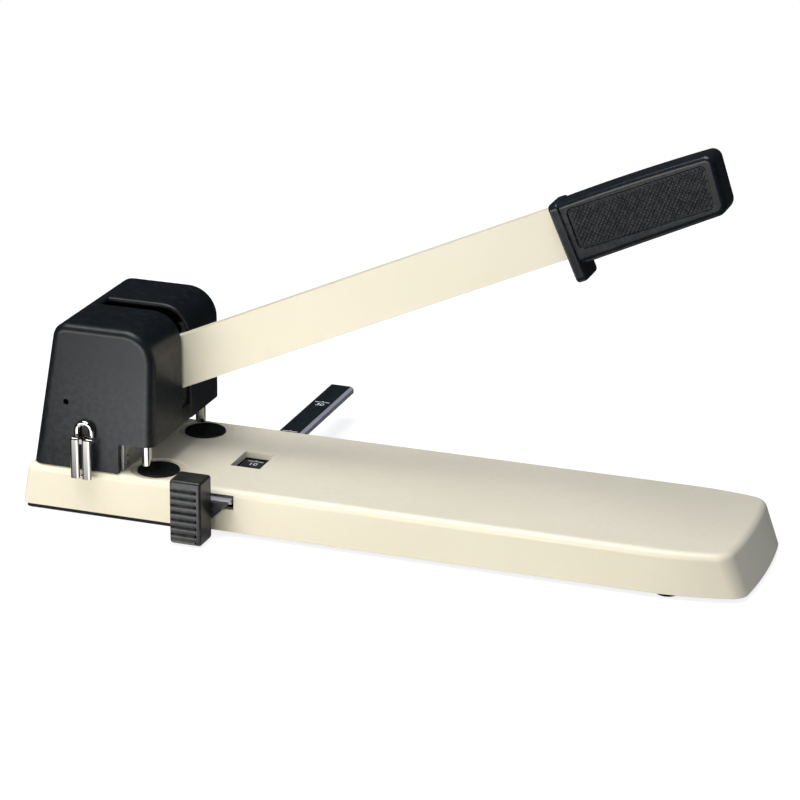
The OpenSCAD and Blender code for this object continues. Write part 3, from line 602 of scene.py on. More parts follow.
@dataclass(frozen=True)
class Finish:
    """One surface finish of the punch and the record's slot that it belongs to."""

    name: str
    slot: str
    colour: Rgb
    shade: Rgb
    texture: Texture
    roughness: Pair
    metallic: float = 0.0
    specular: float = 0.5
    coat: float = 0.0
    bump: float = 0.1
    relief: float = 0.05
    fine_scale: float = 1500.0
    broad_scale: float = 25.0
    grain_dark: float = 0.0
    wear: float = 0.0
    wear_colour: Rgb = (0.5, 0.5, 0.5)
    dust: float = 0.0
    brush: Rgb = (1.0, 1.0, 1.0)

    def material(self) -> bpy.types.Material:
        """Gives the finish's material, made when first asked for."""
        return bpy.data.materials.get(self.name) or self._make()

    def _make(self) -> bpy.types.Material:
        """Builds the material's nodes.

        Returns:
            The new material.
        """
        material = bpy.data.materials.new(self.name)
        material.use_nodes = True
        tree = material.node_tree
        shader = tree.nodes["Principled BSDF"]
        for label, number in (("Metallic", self.metallic), ("Specular IOR Level", self.specular),
                              ("Coat Weight", self.coat), ("Coat Roughness", COAT_ROUGHNESS)):
            shader.inputs[label].default_value = number
        vector = tree.nodes.new("ShaderNodeTexCoord").outputs["Object"]
        scales = {"Fine Scale": self.fine_scale, "Broad Scale": self.broad_scale}
        broad = fine = self._group(tree, ShaderKit.variation(), vector, scales)
        if self.texture is Texture.BRUSHED:
            turn = tree.nodes.new("ShaderNodeMapping")
            turn.inputs["Scale"].default_value = self.brush
            tree.links.new(vector, turn.inputs["Vector"])
            fine = self._group(tree, ShaderKit.variation(), turn.outputs["Vector"], scales)
        colour = self._mix(tree, broad.outputs["Cloud"], self.colour, self.shade)
        if self.grain_dark:
            dark = ShaderKit.ramp(tree, fine.outputs["Grain"], *GRAIN_LIMITS, (0.0, self.grain_dark))
            colour = self._mix(tree, dark, colour, tuple(GRAIN_SHADE * c for c in self.shade))
        if self.wear:
            worn = self._group(tree, ShaderKit.wear(), vector,
                               {"Break Scale": BREAK_SCALE, "Amount": self.wear})
            colour = self._mix(tree, worn.outputs["Mask"], colour, self.wear_colour)
        if self.dust:
            dusty = self._group(tree, ShaderKit.dust(), vector, {"Amount": self.dust})
            colour = self._mix(tree, dusty.outputs["Mask"], colour, DUST_COLOUR)
        tree.links.new(colour, shader.inputs["Base Color"])
        tree.links.new(ShaderKit.ramp(tree, broad.outputs["Smudge"], 0.0, 1.0, self.roughness),
                       shader.inputs["Roughness"])
        bump = tree.nodes.new("ShaderNodeBump")
        bump.inputs["Strength"].default_value = self.bump
        bump.inputs["Distance"].default_value = self.relief * MM
        tree.links.new(fine.outputs["Grain"], bump.inputs["Height"])
        tree.links.new(bump.outputs["Normal"], shader.inputs["Normal"])
        return material

    @staticmethod
    def _group(tree: bpy.types.NodeTree, group: bpy.types.NodeTree, vector: bpy.types.NodeSocket,
               values: dict[str, float]) -> bpy.types.Node:
        """Places a shared group in a material.

        Args:
            tree: The material's tree.
            group: The shared group.
            vector: Coordinates for it.
            values: Its other inputs by name.

        Returns:
            The group's node.
        """
        node = tree.nodes.new("ShaderNodeGroup")
        node.node_tree = group
        tree.links.new(vector, node.inputs["Vector"])
        for label, number in values.items():
            node.inputs[label].default_value = number
        return node

    @staticmethod
    def _mix(tree: bpy.types.NodeTree, mask: bpy.types.NodeSocket, first: Rgb | bpy.types.NodeSocket,
             second: Rgb) -> bpy.types.NodeSocket:
        """Mixes a colour into another by a mask.

        Args:
            tree: The material's tree.
            mask: Share of the second colour.
            first: First colour, as numbers or a socket.
            second: Second colour.

        Returns:
            The mixed colour's socket.
        """
        node = tree.nodes.new("ShaderNodeMix")
        node.data_type = "RGBA"
        tree.links.new(mask, node.inputs[0])
        if isinstance(first, tuple):
            node.inputs[MIX_FIRST].default_value = (*first, 1.0)
        else:
            tree.links.new(first, node.inputs[MIX_FIRST])
        node.inputs[MIX_SECOND].default_value = (*second, 1.0)
        return node.outputs[MIX_RESULT]


CREAM = Finish(
    "cream_enamel", "cream_paint", (0.86, 0.785, 0.62), (0.835, 0.755, 0.59), Texture.PEEL,
    (0.38, 0.50), specular=0.42, coat=0.08, bump=0.12, relief=0.05, fine_scale=900.0, broad_scale=9.0,
    wear=0.25, wear_colour=(0.86, 0.80, 0.68), dust=0.05)
COVER_BLACK = Finish(
    "satin_black_cover", "black_plastic", (0.0046, 0.0068, 0.0098), (0.0036, 0.0054, 0.0078), Texture.MOULDED,
    (0.36, 0.42), specular=0.32, bump=0.16, relief=0.05, fine_scale=1700.0, broad_scale=18.0,
    wear=0.35, wear_colour=(0.035, 0.036, 0.038), dust=0.02)
GRIP_BLACK = Finish(
    "grip_black", "black_plastic", (0.0066, 0.0100, 0.0140), (0.0050, 0.0077, 0.0108), Texture.MOULDED,
    (0.26, 0.32), specular=0.34, bump=0.10, relief=0.05, fine_scale=1500.0, broad_scale=22.0,
    wear=0.45, wear_colour=(0.05, 0.052, 0.056), dust=0.02)
KNURL_BLACK = Finish(
    "knurl_black", "black_plastic", (0.016, 0.0185, 0.0225), (0.012, 0.0142, 0.0175), Texture.MOULDED,
    (0.34, 0.42), specular=0.40, bump=0.10, relief=0.04, fine_scale=1500.0, broad_scale=22.0,
    wear=0.5, wear_colour=(0.07, 0.072, 0.078))
STOP_BLACK = Finish(
    "stop_black", "black_plastic", (0.0085, 0.009, 0.0102), (0.0062, 0.0066, 0.0078), Texture.MOULDED,
    (0.31, 0.38), specular=0.38, bump=0.10, relief=0.05, fine_scale=1500.0, broad_scale=30.0,
    wear=0.5, wear_colour=(0.06, 0.061, 0.065), dust=0.02)
DISC_BLACK = Finish(
    "disc_black", "disc_plastic", (0.0045, 0.0055, 0.006), (0.0065, 0.0075, 0.008), Texture.MOULDED,
    (0.55, 0.7), specular=0.16, bump=0.1, relief=0.04, fine_scale=1800.0, broad_scale=60.0,
    wear=0.2, wear_colour=(0.03, 0.031, 0.032))
RUBBER = Finish(
    "black_rubber", "rubber", (0.010, 0.010, 0.011), (0.015, 0.015, 0.0155), Texture.MOULDED,
    (0.7, 0.85), specular=0.2, bump=0.25, relief=0.08, fine_scale=1100.0, broad_scale=40.0,
    wear=0.3, wear_colour=(0.045, 0.044, 0.043), dust=0.08)
CHROME = Finish(
    "bright_chrome", "chrome", (0.54, 0.535, 0.52), (0.49, 0.485, 0.475), Texture.POLISHED,
    (0.04, 0.10), metallic=1.0, bump=0.03, relief=0.02, fine_scale=600.0, broad_scale=50.0)
# Warm copy of the bright chrome for the hasp, made darker: the warm tint is the hasp's own colour, the
# darkening is painted shade that keeps the hasp's strips from reflecting to white
HASP_SHADED_CHROME = Finish(
    "plated_nickel", "chrome", (0.37, 0.36, 0.335), (0.33, 0.32, 0.30), Texture.POLISHED,
    (0.08, 0.15), metallic=1.0, bump=0.03, relief=0.02, fine_scale=600.0, broad_scale=50.0)
SHEET_STEEL = Finish(
    "plated_sheet", "sheet_steel", (0.50, 0.505, 0.50), (0.43, 0.435, 0.43), Texture.BRUSHED,
    (0.46, 0.56), metallic=0.85, bump=0.1, relief=0.03, fine_scale=700.0, broad_scale=30.0,
    grain_dark=0.15, brush=(1.0, 0.06, 1.0), wear=0.2, wear_colour=(0.8, 0.8, 0.78))
MACHINED = Finish(
    "machined_steel", "machined_steel", (0.46, 0.46, 0.465), (0.39, 0.39, 0.395), Texture.BRUSHED,
    (0.28, 0.42), metallic=1.0, bump=0.1, relief=0.03, fine_scale=900.0, broad_scale=35.0,
    grain_dark=0.2, brush=(1.0, 1.0, 0.05), wear=0.2, wear_colour=(0.6, 0.6, 0.6))
FASTENER = Finish(
    "zinc_fastener", "fasteners", (0.60, 0.60, 0.595), (0.50, 0.495, 0.48), Texture.POLISHED,
    (0.24, 0.40), metallic=1.0, bump=0.06, relief=0.03, fine_scale=1200.0, broad_scale=150.0,
    wear=0.2, wear_colour=(0.72, 0.72, 0.71))
SPRING = Finish(
    "spring_wire", "spring_steel", (0.36, 0.355, 0.35), (0.29, 0.285, 0.28), Texture.POLISHED,
    (0.26, 0.38), metallic=1.0, bump=0.08, relief=0.03, fine_scale=1500.0, broad_scale=120.0)
BRONZE = Finish(
    "sintered_bronze", "bronze", (0.45, 0.30, 0.15), (0.38, 0.25, 0.125), Texture.POLISHED,
    (0.38, 0.52), metallic=1.0, bump=0.12, relief=0.03, fine_scale=1900.0, broad_scale=120.0)
ALUMINIUM = Finish(
    "anodised_bar", "aluminium", (0.60, 0.60, 0.67), (0.54, 0.54, 0.61), Texture.BRUSHED,
    (0.36, 0.48), metallic=0.55, bump=0.08, relief=0.03, fine_scale=1100.0, broad_scale=30.0,
    grain_dark=0.12, brush=(1.0, 0.05, 1.0), wear=0.3, wear_colour=(0.78, 0.78, 0.82))
SCALE_BLACK = Finish(
    "scale_black", "scale_print", (0.0065, 0.0115, 0.0145), (0.009, 0.0145, 0.0175), Texture.MOULDED,
    (0.4, 0.55), specular=0.2, bump=0.06, relief=0.03, fine_scale=1500.0, broad_scale=40.0, dust=0.02)
SCALE_WHITE = Finish(
    "scale_white", "scale_print", (0.74, 0.74, 0.75), (0.62, 0.62, 0.64), Texture.MOULDED,
    (0.5, 0.6), specular=0.3, bump=0.05, relief=0.02, fine_scale=1500.0, broad_scale=400.0, grain_dark=0.1)


def hand_over(obj: bpy.types.Object, finish: Finish, body: str, *nodes: str) -> bpy.types.Object:
    """Dresses a finished piece and gives it to its body.

    Args:
        obj: The piece.
        finish: Its finish.
        body: Body that it moves with.
        nodes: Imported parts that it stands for.

    Returns:
        The piece.
    """
    obj.data.materials.clear()
    obj.data.materials.append(finish.material())
    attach(obj, body)
    if nodes:
        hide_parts(*nodes)
    LOG.info("%s: %d faces, %s, on %s", obj.name, len(obj.data.polygons), finish.name, body)
    return obj


def softened(node: str, finish: Finish, body: str, width: float, segments: int = 2) -> bpy.types.Object:
    """Makes a soft-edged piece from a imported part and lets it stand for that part.

    Args:
        node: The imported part.
        finish: Finish of the piece.
        body: Body that it moves with.
        width: Width of the edge rounding in millimetres.
        segments: Segments across the rounding.

    Returns:
        The piece.
    """
    obj = polish(soften(copy_node(node, f"{node}_piece"), width, segments))
    return hand_over(obj, finish, body, node)


def dress_nodes(finish: Finish, *nodes: str) -> None:
    """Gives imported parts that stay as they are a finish."""
    for node in nodes:
        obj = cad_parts[node]
        if not obj.material_slots:
            obj.data.materials.append(finish.material())
        for slot in obj.material_slots:
            slot.material = finish.material()
        LOG.info("%s: packed part in %s", node, finish.name)


class Pattern:
    """Geometry Nodes tree with named inputs, run once into a plain mesh."""

    def __init__(self, name: str) -> None:
        """Opens an empty tree that takes and gives a mesh."""
        self.tree = bpy.data.node_groups.new(name, "GeometryNodeTree")
        self.tree.interface.new_socket(name="Points", in_out="INPUT", socket_type="NodeSocketGeometry")
        self.tree.interface.new_socket(name="Mesh", in_out="OUTPUT", socket_type="NodeSocketGeometry")
        self.sockets: dict[str, str] = {}
        self.given = self.tree.nodes.new("NodeGroupInput")
        self.out = self.tree.nodes.new("NodeGroupOutput")

    def ask(self, label: str, kind: str) -> bpy.types.NodeSocket:
        """Adds a named input.

        Args:
            label: Name of the input.
            kind: Its socket type.

        Returns:
            The socket that carries the input inside the tree.
        """
        made = self.tree.interface.new_socket(name=label, in_out="INPUT", socket_type=kind)
        self.sockets[label] = made.identifier
        return self.given.outputs[label]

    def add(self, kind: str, **links: object) -> bpy.types.Node:
        """Adds a node and fills its inputs.

        Args:
            kind: Blender's name of the node type.
            links: Inputs by name, with underscores for spaces, as a socket or a plain value.

        Returns:
            The node.
        """
        node = self.tree.nodes.new(kind)
        for label, value in links.items():
            target = node.inputs[label.replace("_", " ")]
            for one in value if isinstance(value, list) else [value]:
                if isinstance(one, bpy.types.NodeSocket):
                    self.tree.links.new(one, target)
                else:
                    target.default_value = one
        return node

    def close(self, geometry: bpy.types.NodeSocket) -> "Pattern":
        """Realizes the copies, sets their material and ends the tree.

        Args:
            geometry: What the tree has made.

        Returns:
            This pattern.
        """
        real = self.add("GeometryNodeRealizeInstances", Geometry=geometry)
        paint = self.add("GeometryNodeSetMaterial", Geometry=real.outputs[0],
                         Material=self.ask("Material", "NodeSocketMaterial"))
        self.tree.links.new(paint.outputs[0], self.out.inputs["Mesh"])
        return self

    def run(self, name: str, points: Sequence[Vector], **values: object) -> bpy.types.Object:
        """Runs the tree on points.

        Args:
            name: Name of the new object.
            points: Points in millimetres.
            values: Inputs by name, with underscores for spaces.

        Returns:
            The object with its plain mesh.
        """
        mesh = bpy.data.meshes.new(name)
        mesh.from_pydata(list(points), [], [])
        obj = link_up(name, mesh)
        step = obj.modifiers.new(name, "NODES")
        step.node_group = self.tree
        for label, value in values.items():
            step[self.sockets[label.replace("_", " ")]] = value
        return settle(obj)


@dataclass(frozen=True)
class Lamp:
    """Soft lamp that looks at a spot along the punch, in metres and watts."""

    name: str
    place: Triple
    aim: float
    size: Pair
    power: float
    colour: Rgb
    aim_height: float = 0.06

    def hang(self) -> None:
        """Hangs the lamp in its place."""
        data = bpy.data.lights.new(self.name, "AREA")
        data.shape, data.size, data.size_y = "RECTANGLE", *self.size
        data.energy, data.color = self.power, self.colour
        lamp = link_up(self.name, data)
        lamp.location = self.place
        lamp.rotation_mode = "QUATERNION"
        target = Vector((self.aim, 0.0, self.aim_height))
        lamp.rotation_quaternion = (target - Vector(self.place)).to_track_quat("-Z", "Y")


@dataclass(frozen=True)
class Backdrop:
    """Brightness of a white ground: full to the camera, a bright spot before a dark room in reflections."""

    coordinates: str
    middle: Triple
    turn: float
    spread: Triple
    full: float
    glow: float
    dark: float = 0.03
    rim: Pair = (0.7, 1.3)

    def brightness(self, tree: bpy.types.NodeTree, camera: bpy.types.NodeSocket) -> bpy.types.NodeSocket:
        """Builds the nodes for the brightness.

        Args:
            tree: Tree that gets the nodes.
            camera: 1 for camera rays.

        Returns:
            The brightness.
        """
        around = tree.nodes.new("ShaderNodeMapping")
        around.vector_type = "TEXTURE"
        around.inputs["Location"].default_value = self.middle
        around.inputs["Rotation"].default_value = (0.0, 0.0, math.radians(self.turn))
        around.inputs["Scale"].default_value = self.spread
        spots = tree.nodes.new("ShaderNodeTexCoord")
        tree.links.new(spots.outputs[self.coordinates], around.inputs["Vector"])
        reach = tree.nodes.new("ShaderNodeVectorMath")
        reach.operation = "LENGTH"
        tree.links.new(around.outputs[0], reach.inputs[0])
        side = ShaderKit.ramp(tree, reach.outputs["Value"], *self.rim, (self.glow, self.dark))
        mix = tree.nodes.new("ShaderNodeMix")
        tree.links.new(camera, mix.inputs[0])
        tree.links.new(side, mix.inputs[2])
        mix.inputs[3].default_value = self.full
        return mix.outputs[0]


@dataclass
class Studio:
    """Camera, floor, backdrop and lamps of a plain product photograph, in metres."""

    focus: Triple = (0.09671, 0.1267, 0.0275)
    azimuth: float = 18.93
    elevation: float = 19.65
    roll: float = 0.71
    distance: float = 1.85246
    lens: float = 135.0
    sensor: float = 36.0
    ambient: Rgb = (0.18, 0.21, 0.26)
    floor_radius: float = 0.85
    floor_sides: int = 64
    floor_z: float = -0.0001
    floor_plain: Rgb = (0.5, 0.5, 0.5)
    floor_catch: Rgb = (0.30, 0.30, 0.30)
    floor_mirrored: Rgb = (0.02, 0.02, 0.02)
    room: Backdrop = Backdrop(
        "Generated", (-0.25, -0.95, 0.0), turn=0.0, spread=(0.5, 0.4, 0.25), full=1.0, glow=1.0)
    ground: Backdrop = Backdrop(
        "Object", (-0.054, -0.340, 0.0), turn=-19.0, spread=(0.10, 0.25, 1.0), full=0.84, glow=4.6)
    lamps: tuple[Lamp, ...] = (
        Lamp("key", (-0.44, -1.12, 0.17), aim=-0.45, size=(1.4, 0.30), power=9.4, colour=(1.0, 0.975, 0.87)),
        Lamp("top", (-0.25, -0.5, 2.15), aim=0.12, size=(1.6, 1.2), power=46.0, colour=(0.96, 0.98, 1.0)))

    def build(self) -> None:
        """Sets up the whole studio."""
        bpy.context.scene.view_settings.view_transform = "Standard"
        self._camera()
        self._world()
        self._floor()
        for lamp in self.lamps:
            lamp.hang()

    def _camera(self) -> None:
        """Puts the camera at the photograph's viewing angle."""
        a, e, r = (math.radians(x) for x in (self.azimuth, self.elevation, self.roll))
        back = Vector((math.sin(a) * math.cos(e), -math.cos(a) * math.cos(e), math.sin(e)))
        right = Vector((math.cos(a), math.sin(a), 0.0))
        up = back.cross(right)
        across = right * math.cos(r) + up * math.sin(r)
        upward = up * math.cos(r) - right * math.sin(r)
        data = bpy.data.cameras.new("camera")
        data.lens, data.sensor_width = self.lens, self.sensor
        camera = link_up("camera", data)
        place = Matrix((across, upward, back)).transposed().to_4x4()
        place.translation = Vector(self.focus) + back * self.distance
        camera.matrix_world = place
        bpy.context.scene.camera = camera

    @staticmethod
    def _seen(tree: bpy.types.NodeTree) -> tuple[bpy.types.NodeSocket, bpy.types.NodeSocket]:
        """Tells the rays that show the backdrop.

        Args:
            tree: Tree that gets the nodes.

        Returns:
            1 for camera rays, and 1 for camera, glossy and transmission rays.
        """
        path = tree.nodes.new("ShaderNodeLightPath")
        camera = total = path.outputs["Is Camera Ray"]
        for label in ("Is Glossy Ray", "Is Transmission Ray"):
            total = ShaderKit.maths(tree, "MAXIMUM", total, path.outputs[label])
        return camera, total

    @staticmethod
    def _mixed(tree: bpy.types.NodeTree, share: bpy.types.NodeSocket, first: bpy.types.NodeSocket,
               second: bpy.types.NodeSocket) -> bpy.types.NodeSocket:
        """Mixes two shaders.

        Args:
            tree: Tree that gets the node.
            share: Share of the second shader.
            first: First shader.
            second: Second shader.

        Returns:
            The mixed shader's socket.
        """
        node = tree.nodes.new("ShaderNodeMixShader")
        for socket, target in zip((share, first, second), node.inputs):
            tree.links.new(socket, target)
        return node.outputs[0]

    @staticmethod
    def _matte(tree: bpy.types.NodeTree, colour: Rgb) -> bpy.types.NodeSocket:
        """Adds a plain matte shader."""
        node = tree.nodes.new("ShaderNodeBsdfDiffuse")
        node.inputs["Color"].default_value = (*colour, 1.0)
        return node.outputs[0]

    def _world(self) -> None:
        """Makes a white backdrop with a flagged side for reflections, and an even fill light."""
        world = bpy.data.worlds.new("studio")
        bpy.context.scene.world = world
        world.use_nodes = True
        tree = world.node_tree
        tree.nodes.clear()
        camera, seen = self._seen(tree)
        shown = tree.nodes.new("ShaderNodeBackground")
        shown.inputs["Color"].default_value = (1.0, 1.0, 1.0, 1.0)
        tree.links.new(self.room.brightness(tree, camera), shown.inputs["Strength"])
        fill = tree.nodes.new("ShaderNodeBackground")
        fill.inputs["Color"].default_value = (*self.ambient, 1.0)
        out = tree.nodes.new("ShaderNodeOutputWorld")
        tree.links.new(self._mixed(tree, seen, fill.outputs[0], shown.outputs[0]), out.inputs["Surface"])

    def _floor(self) -> None:
        """Lays a pale floor that looks white and keeps a soft shadow."""
        mesh = bpy.data.meshes.new("floor")
        r = self.floor_radius
        rim = [(r * c, r * s, self.floor_z) for c, s in circle(self.floor_sides)]
        mesh.from_pydata(rim, [], [range(self.floor_sides)])
        obj = link_up("floor", mesh)
        material = bpy.data.materials.new("pale_floor")
        material.use_nodes = True
        tree = material.node_tree
        tree.nodes.remove(tree.nodes["Principled BSDF"])
        camera, seen = self._seen(tree)
        lift = tree.nodes.new("ShaderNodeEmission")
        tree.links.new(self.ground.brightness(tree, camera), lift.inputs["Strength"])
        shadow = self._mixed(tree, camera, self._matte(tree, self.floor_mirrored),
                             self._matte(tree, self.floor_catch))
        both = tree.nodes.new("ShaderNodeAddShader")
        tree.links.new(shadow, both.inputs[0])
        tree.links.new(lift.outputs[0], both.inputs[1])
        mix = self._mixed(tree, seen, self._matte(tree, self.floor_plain), both.outputs[0])
        tree.links.new(mix, tree.nodes["Material Output"].inputs["Surface"])
        mesh.materials.append(material)


@dataclass
class BaseShell:
    """Painted base with its window, slots and disc wells, and what it stands on."""

    front: float = 357.5
    rear: float = 74.0
    half: float = 54.0
    low: float = 2.5
    edge: float = 4.5
    foot_edge: float = 0.6
    foot_share: float = 0.3
    cut_edge: float = 0.35
    cut_angle: float = 50.0
    crisp: float = 30.0
    curve_start: float = 300.0
    curve_r: float = 170.0
    bulge: float = 2.0
    corner: float = 11.0
    rear_corner: float = 4.0
    side_draft: float = 0.0488
    end_draft: float = 0.376
    rear_draft: float = 0.1445
    corner_gap: float = 4.0
    rim_steps: int = 6
    wall: float = 4.0
    cavity: tuple[Pair, ...] = (
        (-67.0, -49.0), (320.5, -49.0), (341.0, -43.5), (341.0, 43.5), (320.5, 49.0), (-67.0, 49.0))
    cavity_low: float = -1.0
    window: tuple[Pair, ...] = ((41.5, -15.0), (60.0, -15.0), (60.0, 10.0), (41.5, 10.0))
    window_r: float = 0.6
    window_low: float = 20.0
    slot_x: Pair = (41.0, 59.0)
    slot_y: Pair = (46.0, 58.0)
    slot_z: Pair = (16.0, 24.5)
    boss_r: float = 15.5
    boss_low: float = 20.7
    relief_r: float = 16.4
    relief_low: float = 26.5
    relief_slope: float = 0.6
    well_r: float = 12.5
    well_low: float = 23.7
    well_top: float = 29.0
    clear: float = 30.0

    def build(self) -> None:
        """Builds and dresses the base."""
        shell = self._shell()
        combine(shell, self._cutters(), Joining.CUT)
        soften(shell, self.cut_edge, angle=self.cut_angle)
        hand_over(polish(shell, self.crisp), CREAM, "base", "base_housing")
        softened("rear_pad", RUBBER, "base", 0.5)
        softened("front_feet", RUBBER, "base", 0.6, 3)
        softened("bottom_plate", SHEET_STEEL, "base", 0.3)

    def _plan(self, rise: float) -> list[tuple[Vector, Vector]]:
        """Gives the plan's points with their outward directions, once round.

        Args:
            rise: Height above the bottom, by which the drafted walls have moved in.

        Returns:
            Pairs of point and direction.
        """
        front = self.front - self.end_draft * rise
        half_y = self.half - self.side_draft * rise
        rear = self.rear - self.rear_draft * rise
        cx = front - self.bulge - self.corner
        t = math.degrees(math.asin((cx - self.curve_start) / (self.curve_r - self.corner)))
        cy = half_y - self.curve_r + (self.curve_r - self.corner) * math.cos(math.radians(t))
        end_r = (cy * cy + self.bulge**2) / (2 * self.bulge)
        te = math.degrees(math.asin(cy / end_r))
        arcs = [
            (front - end_r, 0.0, end_r, 0.0, te, 8), (cx, cy, self.corner, te + self.corner_gap, 90 - t, 10),
            (self.curve_start, half_y - self.curve_r, self.curve_r, 90 - t, 90.0, 8),
            (self.rear_corner - rear, half_y - self.rear_corner, self.rear_corner, 90.0, 180.0, 6)]
        half = []
        for x, y, r, start, stop, steps in arcs:
            for k in range(steps + 1):
                angle = math.radians(start + (stop - start) * k / steps)
                out = Vector((math.cos(angle), math.sin(angle)))
                half.append((Vector((x, y)) + out * r, out))
        flip = Matrix.Diagonal((1.0, -1.0))
        return half + [(flip @ p, flip @ d) for p, d in reversed(half[1:])]

    def _shell(self) -> bpy.types.Object:
        """Lofts the drafted outer form with its rounded top edge."""
        rise = BASE_TOP - self.low
        columns = []
        for (point, out), (upper, _) in zip(self._plan(0.0), self._plan(rise)):
            lean = self.side_draft * out.y**2 + (self.end_draft if out.x > 0 else self.rear_draft) * out.x**2
            alpha = math.atan(lean)
            centre = lean * (BASE_TOP - self.edge - self.low) + self.edge / math.cos(alpha)
            bend = self.foot_share * self.foot_edge
            profile = [(self.foot_edge, self.low), (bend, self.low + bend),
                       (lean * self.foot_edge, self.low + self.foot_edge)]
            for k in range(self.rim_steps + 1):
                phi = alpha + (math.pi / 2 - alpha) * k / self.rim_steps
                profile.append((centre - self.edge * math.cos(phi),
                                BASE_TOP - self.edge + self.edge * math.sin(phi)))
            column = []
            for inset, z in profile:
                spot = point.lerp(upper, (z - self.low) / rise) - out * (inset - lean * (z - self.low))
                column.append(Vector((spot.x, spot.y, z)))
            columns.append(column)
        return Draft().loft(list(zip(*columns))).deliver("base_shell")

    def _cutters(self) -> list[bpy.types.Object]:
        """Makes the solids that are cut out of the base.

        Returns:
            Cavity, window, guide slots, disc wells and finger reliefs.
        """
        hollow = Outline.rounded([(x, y, 0) for x, y in self.cavity])
        cavity = Draft().prism(hollow, Axis.Z, self.cavity_low, BASE_TOP - self.wall).deliver("cavity")
        boss = [(self.boss_r, self.boss_low), (self.boss_r, self.clear)]
        seats = [(DISC_X, side * DISC_Y, 0.0) for _, side in SIDES]
        combine(cavity, [Draft().lathe(boss, seat).deliver("boss") for seat in seats], Joining.CUT)
        window = Outline.rounded([(x, y, self.window_r) for x, y in self.window], steps=3)
        tools = [cavity, Draft().prism(window, Axis.Z, self.window_low, self.clear).deliver("window")]
        inner, outer = self.relief_r - self.relief_slope, self.relief_r + self.relief_slope
        relief = [(inner, self.relief_low), (outer, self.relief_low + outer - inner), (outer, self.clear)]
        well = [(self.well_r, self.well_low), (self.well_r, self.well_top)]
        for seat, (_, side) in zip(seats, SIDES):
            low, high = sorted(side * y for y in self.slot_y)
            slot = Draft().box((self.slot_x[0], low, self.slot_z[0]), (self.slot_x[1], high, self.slot_z[1]))
            tools.append(slot.deliver("slot"))
            for name, profile in (("relief", relief), ("well", well)):
                tools.append(Draft().lathe(profile, seat, segments=72).deliver(name))
        return tools


